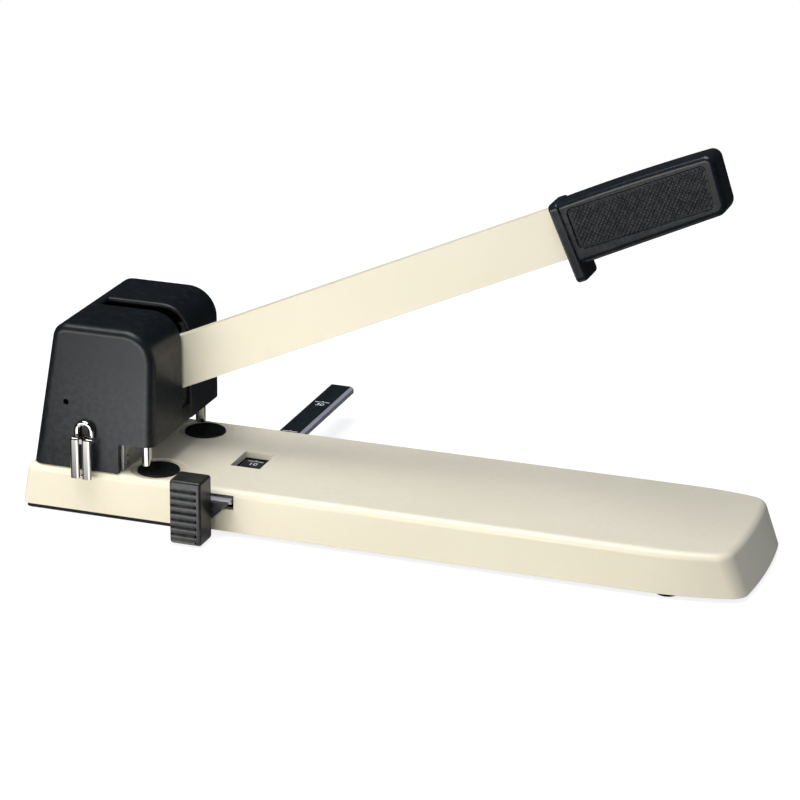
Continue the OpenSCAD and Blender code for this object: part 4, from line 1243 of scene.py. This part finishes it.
@dataclass
class PunchHead:
    """Black cover over the punch, its throat, cutters and cutting discs."""

    rear: float = -68.0
    rear_top: float = -53.0
    front: float = 8.5
    height: float = 86.3
    half: float = 51.5
    taper: float = 1.9
    wall: float = 2.5
    edge: float = 5.0
    corner: float = 7.0
    nose_r: float = 18.0
    tail_r: float = 9.5
    slot_half: float = 6.0
    slot_play: float = 0.03
    slot_rear: float = -43.0
    slot_low: float = 27.0
    slot_r: float = 1.8
    slot_top: float = 120.0
    lip: float = 2.0
    lip_lines: tuple[float, ...] = (0.0, 0.15, 0.4, 0.75, 1.2, 1.6, 2.0)
    top_lines: tuple[float, ...] = (-36.0, -28.0, -20.0)
    side_lines: tuple[float, ...] = (11.0, 16.0, 24.0, 36.0)
    lean_from: float = 20.0
    inside_low: float = -2.0
    throat_back: float = -13.0
    throat_low: float = -3.0
    throat_h: float = 18.0
    ahead: float = 40.0
    aside: float = 70.0
    hole_x: float = -45.5
    hole_h: float = 39.8
    hole_r: float = 1.75
    hole_y: Pair = (-60.0, -44.0)
    crisp: float = 32.0
    disc_crisp: float = 50.0
    disc_r: float = 12.2
    disc_low: float = -3.8
    disc_rim: tuple[Pair, ...] = (
        (0.4, -3.8), (0.0, -3.4), (0.0, -0.25), (0.12, 0.02), (0.45, 0.2), (1.3, 0.2), (1.45, 0.12),
        (1.6, 0.2))
    disc_dimple: tuple[Pair, ...] = ((1.0, 0.2), (0.75, 0.05), (0.4, -0.3), (0.0, -0.35))

    def build(self) -> None:
        """Builds and dresses the head."""
        cover = self._form("head_cover_piece", 0.0, 0.0)
        throat = Draft().box((self.throat_back, -self.aside, BASE_TOP + self.throat_low),
                             (self.ahead, self.aside, BASE_TOP + self.throat_h))
        hole = Draft().lathe([(self.hole_r, y) for y in self.hole_y],
                             (self.hole_x, 0.0, BASE_TOP + self.hole_h), Axis.Y, segments=28)
        tools = [self._form("inside", self.wall, self.inside_low), self._slot(), throat.deliver("throat"),
                 hole.deliver("oil_hole")]
        combine(cover, tools, Joining.CUT)
        hand_over(polish(cover, self.crisp), COVER_BLACK, "base", "head_cover")
        self._discs()
        softened("stop_plate", SHEET_STEEL, "base", 0.25)
        softened("stripper_plate", MACHINED, "base", 0.3)
        for name in ("cutter_near", "cutter_far"):
            softened(name, CHROME, "ram", 0.12)

    def _place(self, x: float, h: float, y: float) -> Vector:
        """Leans the sides inwards with height."""
        outer = min(1.0, max(0.0, (abs(y) - self.lean_from) / (self.half - self.lean_from)))
        lean = self.taper * h / self.height * outer
        return Vector((x, y - math.copysign(lean, y), BASE_TOP + h))

    def _form(self, name: str, inset: float, low: float) -> bpy.types.Object:
        """Lofts the cover's form across its width, with rounded rims and slot lips.

        Args:
            name: Name of the object.
            inset: Distance inside the outer skin.
            low: Height of the open bottom.

        Returns:
            A closed solid.
        """
        outline = Outline.rounded(
            [(self.rear, 0.0, 0), (self.front, 0.0, 0), (self.front, self.height, self.nose_r),
             (self.rear_top, self.height, self.tail_r)], steps=12)
        outline = outline.divided([*(self.slot_rear - d for d in self.lip_lines), *self.top_lines])
        rear_slope = math.hypot(self.rear_top - self.rear, self.height) / self.height
        for i, (point, way) in enumerate(zip(outline.points, outline.inward)):
            if point.y < SAME:
                slope = 1.0 if point.x > 0 else rear_slope
                outline.inward[i] = Vector((math.copysign(slope, way.x), 0.0))
        half = self.half - inset
        reach = self.corner - inset
        rims = [half - reach + reach * math.sin(turn) for turn in quarter_turn(8)]
        widths = [*(self.slot_half + d for d in self.lip_lines), *self.side_lines, *rims]
        rings = []
        for y in [-w for w in reversed(widths)] + [0.0] + widths:
            ring = []
            for point, way in zip(outline.points, outline.inward):
                upright = abs(way.x) * max(0.0, 1.0 - point.y / (self.height - self.nose_r))
                r = self.edge + (self.corner - self.edge) * min(1.0, upright) - inset
                over = max(0.0, abs(y) - half + r)
                drop = inset + r - math.sqrt(max(0.0, r * r - over * over))
                drop += self._lip_drop(point, y) if inset == 0 else 0.0
                spot = point + way * drop
                if point.y < SAME:
                    spot.y = low
                ring.append(self._place(spot.x, spot.y, y))
            rings.append(ring)
        return Draft().loft(rings).deliver(name)

    def _lip_drop(self, point: Vector, y: float) -> float:
        """Gives how far the skin rolls inwards beside the lever slot.

        Args:
            point: Point of the cover's outline.
            y: Station across the cover.

        Returns:
            The drop below the plain skin.
        """
        past = max(0.0, self.slot_rear - point.x)
        if point.x > self.front - SAME:
            past = max(past, self.slot_low - point.y)
        away = math.hypot(past, max(abs(y) - self.slot_half, 0.0))
        if away >= self.lip:
            return 0.0
        return self.lip - math.sqrt(self.lip**2 - (self.lip - away)**2)

    def _slot(self) -> bpy.types.Object:
        """Makes the solid of the lever slot, a little past the lip's lines so that no faces coincide."""
        half = self.slot_half + self.slot_play
        rear = self.slot_rear - self.slot_play
        low = self.slot_low - self.slot_play
        plan = Outline.rounded([(rear, -half, self.slot_r), (self.ahead, -half, 0),
                                (self.ahead, half, 0), (rear, half, self.slot_r)], steps=5)
        return Draft().prism(plan, Axis.Z, BASE_TOP + low, BASE_TOP + self.slot_top).deliver("lever_slot")

    def _discs(self) -> None:
        """Turns the two cutting discs, with a rounded rim and a centre dimple."""
        rim = [(self.disc_r - inset, height) for inset, height in self.disc_rim]
        profile = [(0.0, self.disc_low), *rim, *self.disc_dimple]
        for name, side in SIDES:
            draft = Draft().lathe(profile, (DISC_X, side * DISC_Y, BASE_TOP), segments=72)
            disc = polish(draft.deliver(f"disc_{name}_piece"), self.disc_crisp)
            hand_over(disc, DISC_BLACK, f"{name}_disc", f"disc_{name}")


@dataclass
class LeverGroup:
    """Painted lever bar and its moulded grip with a knurled panel on each side."""

    pivot: Pair = (-45.5, 67.3)
    slope: float = 24.3
    start: float = 303.5
    end: float = 401.5
    end_lean: float = 3.5
    end_r: Pair = (6.5, 5.0)
    guard: float = 6.0
    guard_low: float = -35.5
    guard_top: float = 10.5
    guard_half: float = 11.7
    guard_r: Pair = (3.0, 3.6)
    guard_rim: float = 1.3
    guard_overlap: float = 1.0
    top: float = 9.75
    low: float = -26.4
    taper: float = 1.3
    bow: float = 0.9
    bow_steps: int = 14
    run_lean: float = 0.05
    half: float = 10.5
    edge: float = 3.4
    tang_end: float = 391.6
    tang_low: float = -16.8
    tang_top: float = 2.3
    tang_half: float = 4.1
    tang_lead: float = 2.0
    panel: tuple[Pair, ...] = ((311.6, -18.6), (391.8, -20.4), (395.8, 4.4), (312.4, 5.6))
    panel_r: float = 3.5
    panel_depth: float = 1.0
    panel_wall: float = 0.7
    panel_clear: float = 2.0
    panel_flare: float = 1.0
    crisp: float = 34.0
    pitch: float = 2.7
    stud_top: float = 0.35
    stud_foot: float = 0.47
    stud_h: float = 0.9
    stud_sink: float = 0.05
    stud_border: float = 1.5
    stud_crisp: float = 20.0

    def build(self) -> None:
        """Builds and dresses the lever."""
        softened("lever_arm", CREAM, "lever", 0.7, 3)
        grip = self._body()
        combine(grip, [self._guard()], Joining.ADD)
        combine(grip, [*(self._panel_cut(side) for _, side in SIDES), self._tang_cut()], Joining.CUT)
        hand_over(polish(grip, self.crisp), GRIP_BLACK, "lever", "grip")
        self._knurl()

    def place(self, s: float, n: float, y: float) -> Vector:
        """Puts a point along, above and across the lever into the part's frame."""
        a = math.radians(self.slope)
        return Vector((self.pivot[0] + s * math.cos(a) - n * math.sin(a), y,
                       self.pivot[1] + s * math.sin(a) + n * math.cos(a)))

    def _body(self) -> bpy.types.Object:
        """Lofts the grip across its thickness, with a bowed back and rounded rims."""
        first = self.start + self.guard - self.guard_overlap
        length = self.end - first
        shape = Outline.rounded(
            [(first, self.low, 0), (self.end - self.end_lean, self.low + self.taper, self.end_r[0]),
             (self.end, self.top - self.taper, self.end_r[1]), (first, self.top, 0)], steps=8)
        ticks = [first + length * k / self.bow_steps for k in range(1, self.bow_steps)]
        shape = shape.divided(ticks, lean=self.run_lean)
        for i, point in enumerate(shape.points):
            share = (point.x - first) / length
            if point.y > 0:
                point.y += self.bow * 4 * share * (1 - share)
            if point.x < first + SAME:
                shape.inward[i] = Vector((0.0, math.copysign(1.0, shape.inward[i].y)))
        rims = [(self.half - self.edge * (1 - math.sin(turn)), self.edge * (1 - math.cos(turn)))
                for turn in quarter_turn(8)]
        stations = [(-w, d) for w, d in reversed(rims)] + rims
        return Draft().loft([shape.ring(d, w, self.place) for w, d in stations]).deliver("grip_piece")

    def _guard(self) -> bpy.types.Object:
        """Makes the guard plate with its rounded lug below the lever."""
        half, (low_r, top_r) = self.guard_half, self.guard_r
        outline = Outline.rounded([(-half, self.guard_low, low_r), (half, self.guard_low, low_r),
                                   (half, self.guard_top, top_r), (-half, self.guard_top, top_r)], steps=8)
        return Draft().pillow(outline, lambda y, n, along: self.place(along, n, y),
                              self.start, self.start + self.guard, self.guard_rim).deliver("guard")

    def _panel_cut(self, side: int) -> bpy.types.Object:
        """Makes the shallow solid of a sunk grip panel, with sloping walls."""
        outline = Outline.rounded([(s, n, self.panel_r) for s, n in self.panel])
        stations = [(side * (self.half - self.panel_depth), self.panel_wall), (side * self.half, 0.0),
                    (side * (self.half + self.panel_clear), -self.panel_flare)]
        return Draft().loft([outline.ring(d, w, self.place) for w, d in stations]).deliver("panel")

    def _tang_cut(self) -> bpy.types.Object:
        """Makes the hollow that takes the lever's tang."""
        first, last = self.start - self.tang_lead, self.tang_end
        outline = Outline.rounded([(first, self.tang_low, 0), (last, self.tang_low, 0),
                                   (last, self.tang_top, 0), (first, self.tang_top, 0)])
        stations = (-self.tang_half, self.tang_half)
        return Draft().loft([outline.ring(0, w, self.place) for w in stations]).deliver("tang")

    def _knurl(self) -> None:
        """Fills both panels with small pyramids by one pattern."""
        knurl = Pattern("knurl")
        stud = knurl.add("GeometryNodeMeshCone", Vertices=4,
                         Radius_Top=knurl.ask("Stud Top", "NodeSocketFloat"),
                         Radius_Bottom=knurl.ask("Stud Foot", "NodeSocketFloat"),
                         Depth=knurl.ask("Stud Height", "NodeSocketFloat"))
        copies = knurl.add("GeometryNodeInstanceOnPoints", Points=knurl.given.outputs["Points"],
                           Instance=stud.outputs["Mesh"])
        knurl.close(copies.outputs[0])
        a = math.radians(self.slope)
        along = Vector((math.cos(a), 0.0, math.sin(a)))
        for name, side in SIDES:
            out = Vector((0.0, side, 0.0))
            turn = Matrix((along, out.cross(along), out)).transposed().to_4x4()
            turn.translation = self.place(0.0, 0.0, side * (self.half - self.panel_depth - self.stud_sink))
            points = [Vector((s, -side * n, 0.0)) for s, n in self._stud_seats()]
            studs = knurl.run(
                f"grip_knurl_{name}", points, Stud_Top=self.stud_top, Stud_Foot=self.stud_foot * self.pitch,
                Stud_Height=self.stud_h, Material=KNURL_BLACK.material())
            studs.data.transform(turn)
            hand_over(polish(studs, self.stud_crisp), KNURL_BLACK, "lever")

    def _stud_seats(self) -> list[tuple[float, float]]:
        """Gives the places of the pyramids along and above the lever, inside the panel's border."""
        step = self.pitch / 2
        low, high = min(n for _, n in self.panel), max(n for _, n in self.panel)
        first, last = self.panel[0][0], max(s for s, _ in self.panel)
        around = zip(self.panel, self.panel[1:] + self.panel[:1])
        edges = [(Vector(p), Vector(q) - Vector(p)) for p, q in around]
        seats = []
        for j in range(int((high - low) / step) + 1):
            for i in range(int((last - first) / step) + 1):
                spot = Vector((first + i * step, low + j * step))
                room = min(run.cross(spot - p) / run.length for p, run in edges)
                if (i + j) % 2 == 0 and room > self.stud_border:
                    seats.append((spot.x, spot.y))
        return seats


@dataclass
class PaperGuide:
    """Sliding guide bar with its printed scale and the ribbed paper stop."""

    strip_top: float = 22.8
    strip_x: Pair = (42.5, 55.0)
    marks: tuple[tuple[float, str], ...] = ((7.0, "10"), (62.5, "20"), (118.0, "30"))
    ink: float = 0.05
    line: Pair = (9.5, 0.8)
    pointer_r: float = 1.4
    pointer_y: float = 0.6
    digit_h: float = 5.6
    digit_bold: float = 0.08
    digit_drop: float = 4.6
    digit_ink: float = 0.02
    stop_x: Pair = (30.0, 49.0)
    stop_y: Pair = (-78.0, -61.0)
    stop_z: Pair = (1.0, 39.5)
    stop_edge: float = 2.2
    stop_rim: float = 1.6
    web: tuple[Pair, ...] = ((34.0, 12.5), (49.0, 12.5), (58.0, 21.3), (58.0, 22.5), (34.0, 22.5))
    web_y: Pair = (-0.5, 3.0)
    groove_low: float = 2.8
    groove_pitch: float = 4.36
    groove_depth: float = 1.0
    grooves: int = 8
    groove_steps: int = 8
    groove_start: float = 25.0
    groove_end: float = 46.4
    rib_clear: float = 2.0
    rib_foot: float = 0.35
    rib_proud: float = 0.02
    rib_lead: float = 0.3
    notch_lap: float = 0.5
    crisp: float = 40.0
    notch: tuple[Pair, ...] = ((0.8, -1.0), (0.8, 1.6), (0.5, 2.0))
    tongue: tuple[Triple, Triple] = ((41.9, -71.1, 19.5), (47.1, -56.0, 22.6))
    screw_place: Triple = (44.5, -66.0, 0.0)
    screw_well: tuple[Pair, ...] = ((3.1, 0.0), (3.1, 14.5), (1.6, 14.5), (1.6, 20.0))

    def build(self) -> None:
        """Builds and dresses the guide."""
        softened("guide_bar", ALUMINIUM, "guide", 0.35)
        softened("scale_strip", SCALE_BLACK, "guide", 0.06, 1)
        self._stop()
        self._lines()
        self._numbers()

    def _stop(self) -> None:
        """Builds the paper stop: a soft-edged block with a ribbed face and a slanting web."""
        (y0, y1), (z0, z1), r = self.stop_y, self.stop_z, self.stop_edge
        side = Outline.rounded([(y0, z0, r), (y1, z0, r), (y1, z1, r), (y0, z1, r)])
        stop = Draft().pillow(side, Axis.X.place, *self.stop_x, self.stop_rim).deliver("paper_stop_piece")
        web = Draft().prism(Outline.rounded([(x, z, 0) for x, z in self.web]), Axis.Y,
                            y1 + self.web_y[0], y1 + self.web_y[1])
        combine(stop, [web.deliver("web")], Joining.ADD)
        notches = Draft()
        for k in range(self.grooves):
            spot = (self.groove_end - self.notch_lap, y0, self.groove_low + k * self.groove_pitch)
            notches.lathe(self.notch, spot, Axis.Y, segments=12)
        cutters = [self._ribs(), notches.deliver("notches"), Draft().box(*self.tongue).deliver("tongue"),
                   Draft().lathe(self.screw_well, self.screw_place, segments=32).deliver("screw_well")]
        combine(stop, cutters, Joining.CUT)
        hand_over(polish(stop, self.crisp), STOP_BLACK, "guide", "paper_stop")

    def _ribs(self) -> bpy.types.Object:
        """Makes the solid that leaves round-backed ribs on the stop's face."""
        y0, z0, n = self.stop_y[0], self.stop_z[0], self.groove_steps
        last = self.groove_low + (self.grooves - 1) * self.groove_pitch
        back, foot = y0 - self.rib_clear, z0 - self.rib_clear / 2
        face = [(back, last + self.groove_pitch / 2), (back, foot), (y0 + self.rib_foot, foot)]
        for k in range(n * self.grooves - 3):
            share = 2 * abs(k % n - n / 2) / n
            height = self.groove_low + k / n * self.groove_pitch
            face.append((y0 + self.groove_depth * share**2 - self.rib_proud, height))
        face[-1] = (y0 - self.rib_lead, face[-1][1])
        ends = (self.groove_start, self.groove_end)
        return Draft().loft([[Axis.X.place(y, z, x) for y, z in face] for x in ends]).deliver("ribs")

    def _lines(self) -> None:
        """Prints the cross lines of the scale, each with a small pointer, by one pattern."""
        row = Pattern("scale_lines")
        bar = row.add("GeometryNodeMeshCube", Size=row.ask("Line", "NodeSocketVector"))
        tip = row.add("GeometryNodeMeshCylinder", Vertices=3, Radius=row.ask("Pointer", "NodeSocketFloat"),
                      Depth=self.ink)
        turned = row.add("GeometryNodeTransform", Geometry=tip.outputs["Mesh"],
                         Translation=row.ask("Pointer Place", "NodeSocketVector"))
        turned.inputs["Rotation"].default_value = (0.0, 0.0, math.pi / 2)
        whole = row.add("GeometryNodeJoinGeometry", Geometry=[bar.outputs["Mesh"], turned.outputs[0]])
        copies = row.add("GeometryNodeInstanceOnPoints", Points=row.given.outputs["Points"],
                         Instance=whole.outputs[0])
        row.close(copies.outputs[0])
        middle = sum(self.strip_x) / 2
        points = [Vector((middle, y, self.strip_top)) for y, _ in self.marks]
        lines = row.run("scale_lines", points, Line=(*self.line, self.ink), Pointer=self.pointer_r,
                        Pointer_Place=(0.0, self.pointer_y, 0.0), Material=SCALE_WHITE.material())
        hand_over(polish(lines), SCALE_WHITE, "guide")

    def _numbers(self) -> None:
        """Prints plain numbers beside the lines."""
        for k, (y, digits) in enumerate(self.marks):
            data = bpy.data.curves.new(f"scale_number_{k}", "FONT")
            data.body = digits
            data.size = self.digit_h
            data.offset = self.digit_bold
            data.align_x, data.align_y = "CENTER", "CENTER"
            data.extrude = self.digit_ink
            text = link_up(data.name, data)
            depsgraph = bpy.context.evaluated_depsgraph_get()
            mesh = bpy.data.meshes.new_from_object(text.evaluated_get(depsgraph))
            bpy.data.objects.remove(text)
            bpy.data.curves.remove(data)
            mesh.transform(Matrix.Translation(
                (sum(self.strip_x) / 2, y - self.digit_drop, self.strip_top + self.digit_ink)))
            hand_over(polish(link_up(f"scale_number_{k}", mesh)), SCALE_WHITE, "guide")


class SideLatch:
    """Chrome latch at the seam between cover and base."""

    def build(self) -> None:
        """Builds and dresses the latch."""
        softened("latch_staple", CHROME, "base", 0.25)
        # The hasp gets the darker copy of the chrome, whose darkening is painted shade
        softened("latch_hasp", HASP_SHADED_CHROME, "latch", 0.3, 3)
        softened("latch_pin", CHROME, "base", 0.3)
        softened("latch_stud", CHROME, "base", 0.25)


@dataclass(frozen=True)
class ScrewSet:
    """Screws of one kind: where they sit, which way they look and what they stand for."""

    node: str
    body: str
    turn: Triple
    seats: tuple[Triple, ...]
    head_h: float
    shank_l: float

    @classmethod
    def paired(cls, node: str, body: str, turn: Triple, spots: Sequence[Pair], y: float, *,
               head_h: float, shank_l: float) -> "ScrewSet":
        """Sets screws in pairs, one on the near side and one on the far side.

        Args:
            node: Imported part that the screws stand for.
            body: Body that they move with.
            turn: Way that they look, as angles about the three axes.
            spots: X and Z of each pair.
            y: Distance of both sides from the middle.
            head_h: Height of the heads.
            shank_l: Length of the shanks.

        Returns:
            The screws.
        """
        seats = tuple((x, side * y, z) for x, z in spots for _, side in SIDES)
        return cls(node, body, turn, seats, head_h, shank_l)


@dataclass
class Fasteners:
    """All screws, drawn by one pattern from one head with a cross recess."""

    head_r: float = 2.8
    shank_r: float = 1.5
    dome: tuple[Pair, ...] = (
        (0.0, 0.0), (1.0, 0.0), (1.0, 0.35), (0.93, 0.62), (0.75, 0.85), (0.45, 1.0), (0.0, 1.0))
    recess: Pair = (0.55, 0.13)
    recess_low: float = 0.45
    first_seed: int = 3
    crisp: float = 40.0

    def build(self) -> None:
        """Builds and dresses the screws."""
        up, down = (0.0, 0.0, 0.0), (math.pi, 0.0, 0.0)
        ahead, back = (0.0, math.pi / 2, 0.0), (0.0, -math.pi / 2, 0.0)
        paired = ScrewSet.paired
        sets = [
            paired("bottom_screws", "base", down, [(78.0, 2.5), (199.5, 2.5), (333.0, 2.5)], 41.0,
                   head_h=1.2, shank_l=10.5),
            paired("foot_screws", "base", down, [(311.5, 1.5)], 44.0, head_h=1.0, shank_l=9.0),
            paired("cheek_screws", "base", down, [(-52.0, 17.5), (-26.0, 17.5)], 25.0,
                   head_h=2.0, shank_l=14.0),
            paired("stop_screws", "base", ahead, [(-12.0, BASE_TOP + 3.6), (-12.0, BASE_TOP + 10.0)], 39.6,
                   head_h=0.2, shank_l=5.5),
            paired("stripper_screws", "base", up, [(-16.0, 49.5)], 39.6, head_h=1.6, shank_l=9.0),
            paired("strap_screws", "base", down, [(37.0, 17.2), (63.0, 17.2)], 34.3, head_h=1.4, shank_l=5.5),
            ScrewSet("stop_bar_screws", "guide", down, ((44.5, -66.0, 14.5),), head_h=1.2, shank_l=7.7),
            paired("rack_screws", "ram", back, [(-23.8, 73.5)], 8.5, head_h=2.0, shank_l=12.0),
        ]
        pattern = self._pattern()
        for k, one in enumerate(sets):
            head = self._head(one.head_h)
            screws = pattern.run(
                f"{one.node}_piece", [Vector(p) for p in one.seats], Head=head, Turn=one.turn,
                Seed=k + self.first_seed, Shank_Radius=self.shank_r, Shank_Length=one.shank_l,
                Shank_Drop=(0.0, 0.0, -one.shank_l / 2), Material=FASTENER.material())
            discard(head)
            hand_over(polish(screws, self.crisp), FASTENER, one.body, one.node)

    def _head(self, height: float) -> bpy.types.Object:
        """Turns a low domed head and cuts its cross recess.

        Args:
            height: Height of the head.

        Returns:
            The head, with its underside at the origin.
        """
        profile = [(r * self.head_r, h * height) for r, h in self.dome]
        head = Draft().lathe(profile, (0, 0, 0), segments=24).deliver("screw_head")
        a, b = (share * self.head_r for share in self.recess)
        bars = [Draft().box((-x, -y, self.recess_low * height), (x, y, height + 1)).deliver("recess")
                for x, y in ((a, b), (b, a))]
        return combine(head, bars, Joining.CUT)

    @staticmethod
    def _pattern() -> Pattern:
        """Builds the tree that sets a head and a shank at each seat, each turned by its own angle."""
        made = Pattern("screw_row")
        head = made.add("GeometryNodeObjectInfo", Object=made.ask("Head", "NodeSocketObject"))
        shank = made.add("GeometryNodeMeshCylinder", Vertices=16,
                         Radius=made.ask("Shank Radius", "NodeSocketFloat"),
                         Depth=made.ask("Shank Length", "NodeSocketFloat"))
        moved = made.add("GeometryNodeTransform", Geometry=shank.outputs["Mesh"],
                         Translation=made.ask("Shank Drop", "NodeSocketVector"))
        whole = made.add("GeometryNodeJoinGeometry", Geometry=[head.outputs["Geometry"], moved.outputs[0]])
        spin = made.tree.nodes.new("FunctionNodeRandomValue")
        spin.inputs[3].default_value = math.tau
        made.tree.links.new(made.ask("Seed", "NodeSocketInt"), spin.inputs["Seed"])
        around = made.tree.nodes.new("ShaderNodeCombineXYZ")
        made.tree.links.new(spin.outputs[1], around.inputs["Z"])
        own = made.add("FunctionNodeEulerToRotation", Euler=around.outputs[0])
        aim = made.add("FunctionNodeEulerToRotation", Euler=made.ask("Turn", "NodeSocketVector"))
        both = made.tree.nodes.new("FunctionNodeRotateRotation")
        both.rotation_space = "LOCAL"
        made.tree.links.new(aim.outputs[0], both.inputs["Rotation"])
        made.tree.links.new(own.outputs[0], both.inputs["Rotate By"])
        copies = made.add("GeometryNodeInstanceOnPoints", Points=made.given.outputs["Points"],
                          Instance=whole.outputs[0], Rotation=both.outputs[0])
        return made.close(copies.outputs[0])


@dataclass
class Drive:
    """Works inside the head: frame, gear sectors, racks, crosshead and return springs."""

    post: Pair = (-3.5, 26.0)
    spring_low: float = 49.5
    spring_high: float = 67.5
    spring_r: float = 4.3
    wire: float = 0.75
    turns: float = 5.5
    turn_steps: int = 24
    closed_share: float = 0.14
    crisp: float = 60.0

    def build(self) -> None:
        """Dresses the works and winds the springs."""
        dress_nodes(MACHINED, "cheek_near", "cheek_far", "pivot_shaft", "sector_near", "sector_far",
                    "crosshead", "rack_near", "rack_far", "guide_posts")
        dress_nodes(FASTENER, "shaft_rings", "sector_dowels", "cutter_nuts")
        dress_nodes(BRONZE, "shaft_bushes")
        dress_nodes(SHEET_STEEL, "guide_straps")
        for name, side in SIDES:
            self._spring(name, side)

    def _spring(self, name: str, side: int) -> None:
        """Winds one return spring, which stretches between the base and the crosshead.

        Args:
            name: Which side it is on.
            side: -1 for the near side, 1 for the far side.
        """
        x, y = self.post[0], side * self.post[1]
        low, high = self.spring_low + self.wire, self.spring_high - self.wire
        room = high - low - 2 * self.wire
        closed = self.closed_share
        steps = int(self.turns * self.turn_steps)
        path = []
        for k in range(steps + 1):
            share = k / steps
            angle = math.tau * self.turns * share
            flat = (min(share, closed) + max(0.0, share - 1.0 + closed)) / closed * self.wire
            climb = min(1.0, max(0.0, (share - closed) / (1.0 - 2 * closed))) * room
            path.append(Vector((x + self.spring_r * math.cos(angle), y + self.spring_r * math.sin(angle),
                                low + flat + climb)))
        coil = polish(Draft().tube(path, self.wire).deliver(f"return_spring_{name}_piece"), self.crisp)
        coil.data.materials.append(SPRING.material())
        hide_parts(f"return_spring_{name}")
        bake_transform(coil)
        LOG.info("%s: %d faces, between base and ram", coil.name, len(coil.data.polygons))


def main() -> None:
    logging.basicConfig(level=logging.INFO, format="%(name)s: %(message)s")
    Studio().build()
    for group in (BaseShell(), PunchHead(), LeverGroup(), PaperGuide(), SideLatch(), Fasteners(), Drive()):
        group.build()


if __name__ == "__main__":
    main()
